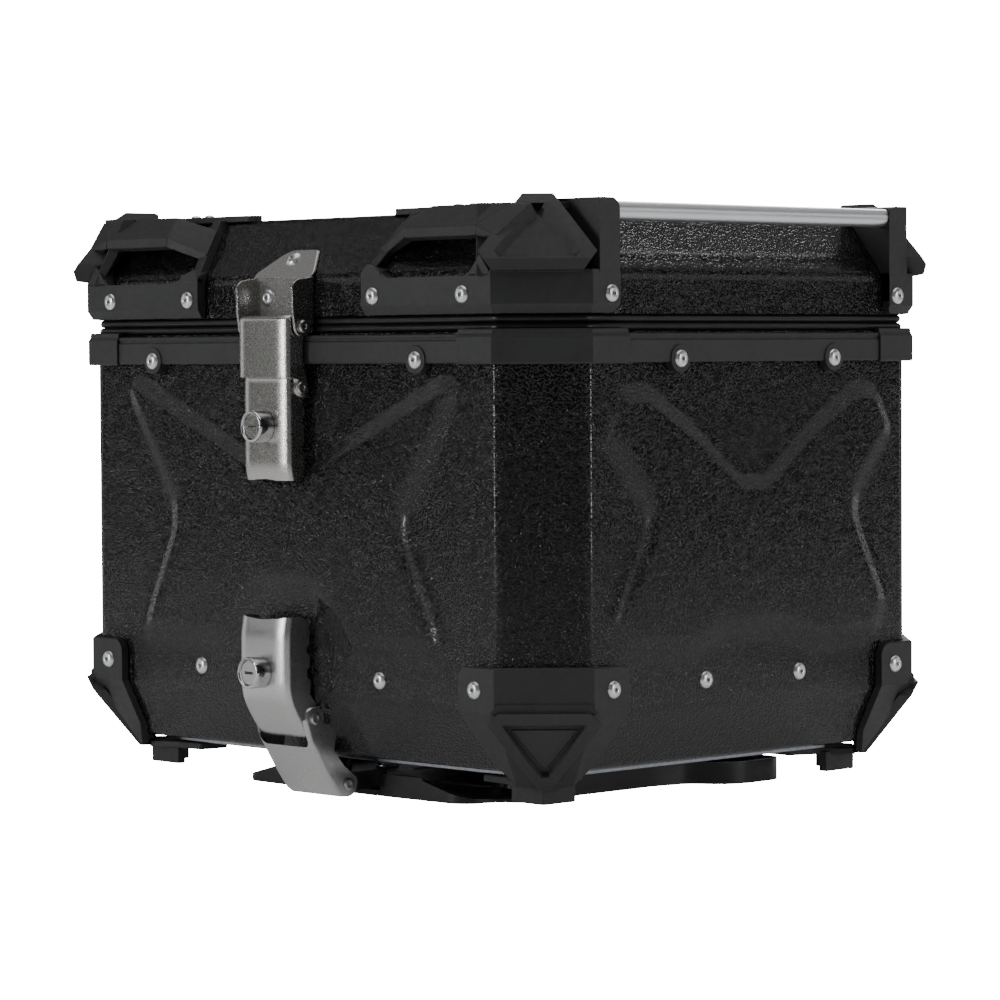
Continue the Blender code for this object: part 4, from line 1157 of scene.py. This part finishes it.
def base():
    tray = slab("XY", base_outline(0), 0, 12.5)
    inside = slab("XY", base_outline(3), 3, 22.5)
    mouth = slab("XY", [(-27, -125), (27, -125), (27, -108.5), (-27, -108.5)], 3.3, 30)
    tools = [inside, mouth]
    for side in (-1, 1):
        # The front lobes rise inwards, so what lies above their slope is cut off.
        above = [(96, 1.8), (60, 11), (60, 13.5), (140, 13.5), (140, 1.8)]
        tools.append(slab("XZ", [(side * x, z) for x, z in above], 56, 125))
        for x, y, half_u, half_v in PLATE_SLOTS:
            slot = rounded((side * x, y), half_u, half_v, min(half_u, half_v) - 0.1)
            tools.append(slab("XY", slot, -10, 11))
    piece("rack_plate", cut_by(tray, *tools), "black_steel", "base", ["base_plate"], 0.9, 3)
    low = 3.6
    cheek = [(-104, low + 0.5), (-104, 14), *arc(LOWER_HANG, 6.2, 70, 270, 12), (-119.5, low + 0.5)]
    cheeks = [cut_by(slab("YZ", cheek, side * 18.9 - 1.1, side * 18.9 + 1.1),
                     hole(PIN_HOLE, (0, *LOWER_HANG), "X", 40))
              for side in (-1, 1)]
    floor = slab("XY", softened([(-19.5, -116), (19.5, -116), (19.5, -92), (-19.5, -92)], 2), low, low + 2)
    piece("latch_clevis", [*cheeks, floor], "black_steel", "base", ["base_clevis"], 0.4)
    for hand, side in HANDS:
        hook = [(92, 3.3), (104.6, 3.3), (106, 4.8), (106, 17), (107.3, 18.5), (107.3, 22.5), (103, 22.5),
                (103, 6.5), (92, 6.5)]
        piece(f"plate_hook_{hand}", slab("YZ", hook, side * 45 - 8, side * 45 + 8), "black_steel", "base",
              [f"rear_hook_{hand}"], 0.4)
        for end, place in (("front", -1), ("rear", 1)):
            low_z, high_z = 3.3, 12.4 if end == "front" else 19.9
            profile = [(0, high_z), (9, high_z), (10.5, high_z - 0.6), (11, high_z - 1.8),
                       (10.2, high_z - 4), (11, low_z + 1.2), (10.4, low_z), (0, low_z)]
            piece(f"pad_{end}_{hand}", turned(profile, "Z", (side * 78, place * 58, 0), 48), "rubber",
                  "base", [f"buffer_{end}_{hand}"], 0)
            centre = (side * 62, place * 30, 0)
            head = turned([(0, 7.3), (4.6, 7.3), (6.5, 6.2), (6.5, 4.3), (0, 4.3)], "Z", centre, 6)
            washer = turned([(0, 4.4), (6.9, 4.4), (6.9, 3.3), (0, 3.3)], "Z", centre, 40)
            piece(f"plate_bolt_{end}_{hand}", [head, washer], "zinc", "base", [f"base_bolt_{end}_{hand}"],
                  0.25)


def floor_and_bottom():
    low, high = extent("bottom_plate")
    plan = [(140, -122), (163, -100), (163, 100), (140, 122), (-140, 122), (-163, 100), (-163, -100),
            (-140, -122)]
    plate = slab("XY", plan, low.z, high.z)
    slots = [slab("XY", rounded((side * 45, 104), 11, 4, 3.9), 0, 40) for side in (-1, 1)]
    piece("case_bottom_plate", cut_by(plate, *slots), "zinc", "case", ["bottom_plate"], 0.4)
    low, high = extent("floor_mat")
    inset = HALF_X - high.x
    counts = [20] * 8
    rows = [[(*p, z) for p in ring_points(i, 4, counts)] for i, z in ((inset, low.z), (inset, high.z - 0.8),
                                                                       (inset + 0.8, high.z))]
    work = bmesh.new()
    rings = [[work.verts.new(Vector(p) * MM) for p in row] for row in rows]
    skin(work, rings)
    work.faces.new(list(reversed(rings[0])))
    work.faces.new(rings[-1])
    piece("felt_liner", stored(work), "felt", "case", ["floor_mat"], 0)


def keepers_and_hinges():
    near = HALF_Y + 0.3
    for name, z, reach in (("upper_keeper", 221, 6.8), ("lower_keeper", 89, 7.3)):
        low, high = extent(name)
        plate = slab("XZ", rounded((0, (low.z + high.z) / 2), 14, (high.z - low.z) / 2, 3), near, near + 2)
        ledge = slab("XZ", [(-13.8, z - 1.5), (13.8, z - 1.5), (13.8, z + 1.5), (-13.8, z + 1.5)], near + 1,
                     HALF_Y + reach)
        piece(name.replace("keeper", "catch_plate"), [plate, ledge], "stainless", "case", [name], 0.4)
    hinge_y, hinge_z = HINGE_AXIS
    for hand, side in HANDS:
        x = side * HINGE_X
        axis = (x, hinge_y, hinge_z)
        strip = HALF_Y + 4.8
        leaf = slab("XZ", softened([(x - LEAF_HALF, 237.5), (x + LEAF_HALF, 237.5), (x + LEAF_HALF, 253.8),
                                    (x - LEAF_HALF, 253.8)], 3),
                    -strip - 2, -strip)
        neck = slab("YZ", [(strip + 0.5, 250), (strip + 1.8, 250), (hinge_y + 1, hinge_z - 3),
                           (hinge_y, hinge_z), (hinge_y - 4, hinge_z), (strip + 0.5, 255.5)], x - 11.6,
                           x + 11.6)
        knuckle = turned(both_ends([(PIN_HOLE, 12), (4, 12), (4.5, 11.5)]), "X", axis, 40)
        piece(f"hinge_case_plate_{hand}", [leaf, cut_by(neck, hole(PIN_HOLE, axis, "X", 30)), knuckle],
              "stainless", "case", [f"hinge_case_leaf_{hand}"], 0.3)
        wall = HALF_Y + 0.3
        plate = slab("XZ", softened([(x - LEAF_HALF, 265.5), (x + LEAF_HALF, 265.5), (x + LEAF_HALF, 285.5),
                                     (x - LEAF_HALF, 285.5)], 3),
                     -wall - 2, -wall)
        shapes = [plate]
        for end in (-1, 1):
            inner, outer = x + end * 12.3, x + end * 25
            arm = [(wall + 0.6, 266.2), (wall + 0.6, 270), (wall + 1.8, 270), (hinge_y + 2, hinge_z + 3.8),
                   (hinge_y, hinge_z), (hinge_y - 4.2, hinge_z + 0.5)]
            near_x, far_x = sorted((inner + end * 0.4, outer - end * 0.4))
            shapes.append(cut_by(slab("YZ", arm, near_x, far_x), hole(PIN_HOLE, axis, "X", 40)))
            half = abs(outer - inner) / 2
            profile = both_ends([(PIN_HOLE, half), (4, half), (4.5, half - 0.5)])
            shapes.append(turned(profile, "X", ((inner + outer) / 2, hinge_y, hinge_z), 40))
        piece(f"hinge_lid_plate_{hand}", shapes, "stainless", "lid", [f"hinge_lid_leaf_{hand}"], 0.3)
        end = 26.5
        profile = both_ends([(0, end), (2.9, end), (3.5, end - 0.6), (3.5, 25.3), (2.2, 25.3)])
        rod = turned(profile, "X", axis, 40)
        piece(f"hinge_rod_{hand}", rod, "satin", "case", [f"hinge_pin_{hand}"], 0)


# Studio ----


# Name, place in metres, width, height and power in watts. All are aimed at the middle of the case.
LIGHTS = [
    ("left_strip", (-1.9, -0.62, 0.5), 0.3, 1.4, 2),
    ("right_strip", (0.74, 1.85, 0.5), 0.3, 1.4, 2),
    ("left_edge_strip", (-0.75, -2.6, 0.6), 0.18, 1.4, 20),
    ("right_edge_strip", (2.6, 0.65, 0.6), 0.18, 1.4, 13),
    ("left_high", (-1.58, -0.42, 1.63), 1, 1, 0.9),
    ("right_high", (0.43, 1.52, 1.70), 1.2, 1, 1.4),
    ("left_low_box", (-1.44, -1.38, 0.72), 1.2, 0.5, 1.5),
    ("right_low_box", (1.44, 1.38, 0.72), 1.2, 0.5, 1.5),
    ("rail_glow", (-1, 1.5, 1.3), 0.9, 0.9, 15),
    ("top_box", (0.1, -0.1, 2.2), 2.4, 2.4, 20),
    ("front_fill", (1.9, -2, 1.2), 1.6, 1.2, 1.6),
]
LIGHTS_AIM = Vector((0, 0, 0.17))
BACKDROP_GLOW, ROOM_LIGHT = 30, 0.03
FLOOR_RINGS, FLOOR_SIDES, NEAR_FLOOR, NEAR_BOUNCE = (0.02, 1, 4, 9), 64, 1.5, 0.20


def soft_light(name, place, width, height, power):
    data = bpy.data.lights.new(name, "AREA")
    data.shape = "RECTANGLE"
    data.size, data.size_y = width, height
    data.energy = power
    lamp = bpy.data.objects.new(name, data)
    bpy.context.scene.collection.objects.link(lamp)
    lamp.location = place
    lamp.rotation_euler = (LIGHTS_AIM - Vector(place)).to_track_quat("-Z", "Y").to_euler()


def white_to_camera(tree, lit, glow, output):
    """The camera sees the white glow, and every other ray meets the lit shader."""
    mix = tree.nodes.new("ShaderNodeMixShader")
    path = tree.nodes.new("ShaderNodeLightPath")
    glow.inputs["Strength"].default_value = BACKDROP_GLOW
    tree.links.new(path.outputs["Is Camera Ray"], mix.inputs["Fac"])
    tree.links.new(lit.outputs[0], mix.inputs[1])
    tree.links.new(glow.outputs[0], mix.inputs[2])
    tree.links.new(mix.outputs[0], tree.nodes[output].inputs["Surface"])


def room():
    world = bpy.data.worlds.new("studio")
    bpy.context.scene.world = world
    world.use_nodes = True
    back = world.node_tree.nodes["Background"]
    back.inputs["Color"].default_value = (1, 1, 1, 1)
    back.inputs["Strength"].default_value = ROOM_LIGHT
    glow = world.node_tree.nodes.new("ShaderNodeBackground")
    white_to_camera(world.node_tree, back, glow, "World Output")


def studio():
    room()
    for light in LIGHTS:
        soft_light(*light)
    work = bmesh.new()
    turns = [2 * math.pi * i / FLOOR_SIDES for i in range(FLOOR_SIDES)]
    rings = [[work.verts.new((radius * math.cos(t), radius * math.sin(t), 0)) for t in turns]
             for radius in FLOOR_RINGS]
    work.faces.new(rings[0])
    skin(work, rings[::-1])
    floor = placed(stored(work), "studio_floor")
    for name, bounce in (("studio_floor_far", 0), ("studio_floor_near", NEAR_BOUNCE)):
        floor.data.materials.append(floor_paint(name, bounce))
    for face in floor.data.polygons:
        face.material_index = int(max(floor.data.vertices[i].co.length for i in face.vertices) < NEAR_FLOOR)


def floor_paint(name, bounce):
    """Pale floor that shows white; bounce is the light it sends back to the object."""
    pale = bpy.data.materials.new(name)
    pale.use_nodes = True
    tree = pale.node_tree
    shader = tree.nodes["Principled BSDF"]
    shader.inputs["Base Color"].default_value = (0.86, 0.86, 0.86, 1)
    shader.inputs["Roughness"].default_value = 0.7
    shader.inputs["Emission Color"].default_value = (1, 1, 1, 1)
    shader.inputs["Emission Strength"].default_value = bounce
    glow = tree.nodes.new("ShaderNodeEmission")
    white_to_camera(tree, shader, glow, "Material Output")
    return pale


def viewpoint():
    data = bpy.data.cameras.new("view")
    data.lens = CAMERA_LENS
    data.sensor_width = 36
    data.clip_start, data.clip_end = 0.05, 30
    camera = bpy.data.objects.new("view", data)
    bpy.context.scene.collection.objects.link(camera)
    yaw, down, roll = CAMERA_YAW, CAMERA_DOWN, CAMERA_ROLL
    ahead = Vector((-math.sin(yaw) * math.cos(down), math.cos(yaw) * math.cos(down), -math.sin(down)))
    right = Vector((math.cos(yaw), math.sin(yaw), 0))
    up = right.cross(ahead)
    across = right * math.cos(roll) + up * math.sin(roll)
    above = -right * math.sin(roll) + up * math.cos(roll)
    turn = Matrix((across, above, -ahead)).transposed().to_4x4()
    camera.matrix_world = Matrix.Translation(CAMERA_PLACE) @ turn
    bpy.context.scene.camera = camera


case_shell()
lid_cover()
lid_gasket()
rim()
foot_guards()
lid_brackets()
rails()
rivets()
latch_bracket()
upper_latch()
lower_latch()
locks()
base()
floor_and_bottom()
keepers_and_hinges()

node_slots = {row["node"]: row["material_slot"] for row in frame["record"]["subparts"]}
by_slot = {slot: FINISHES[finish] for finish, slot in reversed(list(SLOTS.items()))}
for node_name, node in frame["nodes"].items():
    node.data.materials.clear()
    node.data.materials.append(by_slot.get(node_slots.get(node_name), FINISHES["black_steel"]))

studio()
viewpoint()
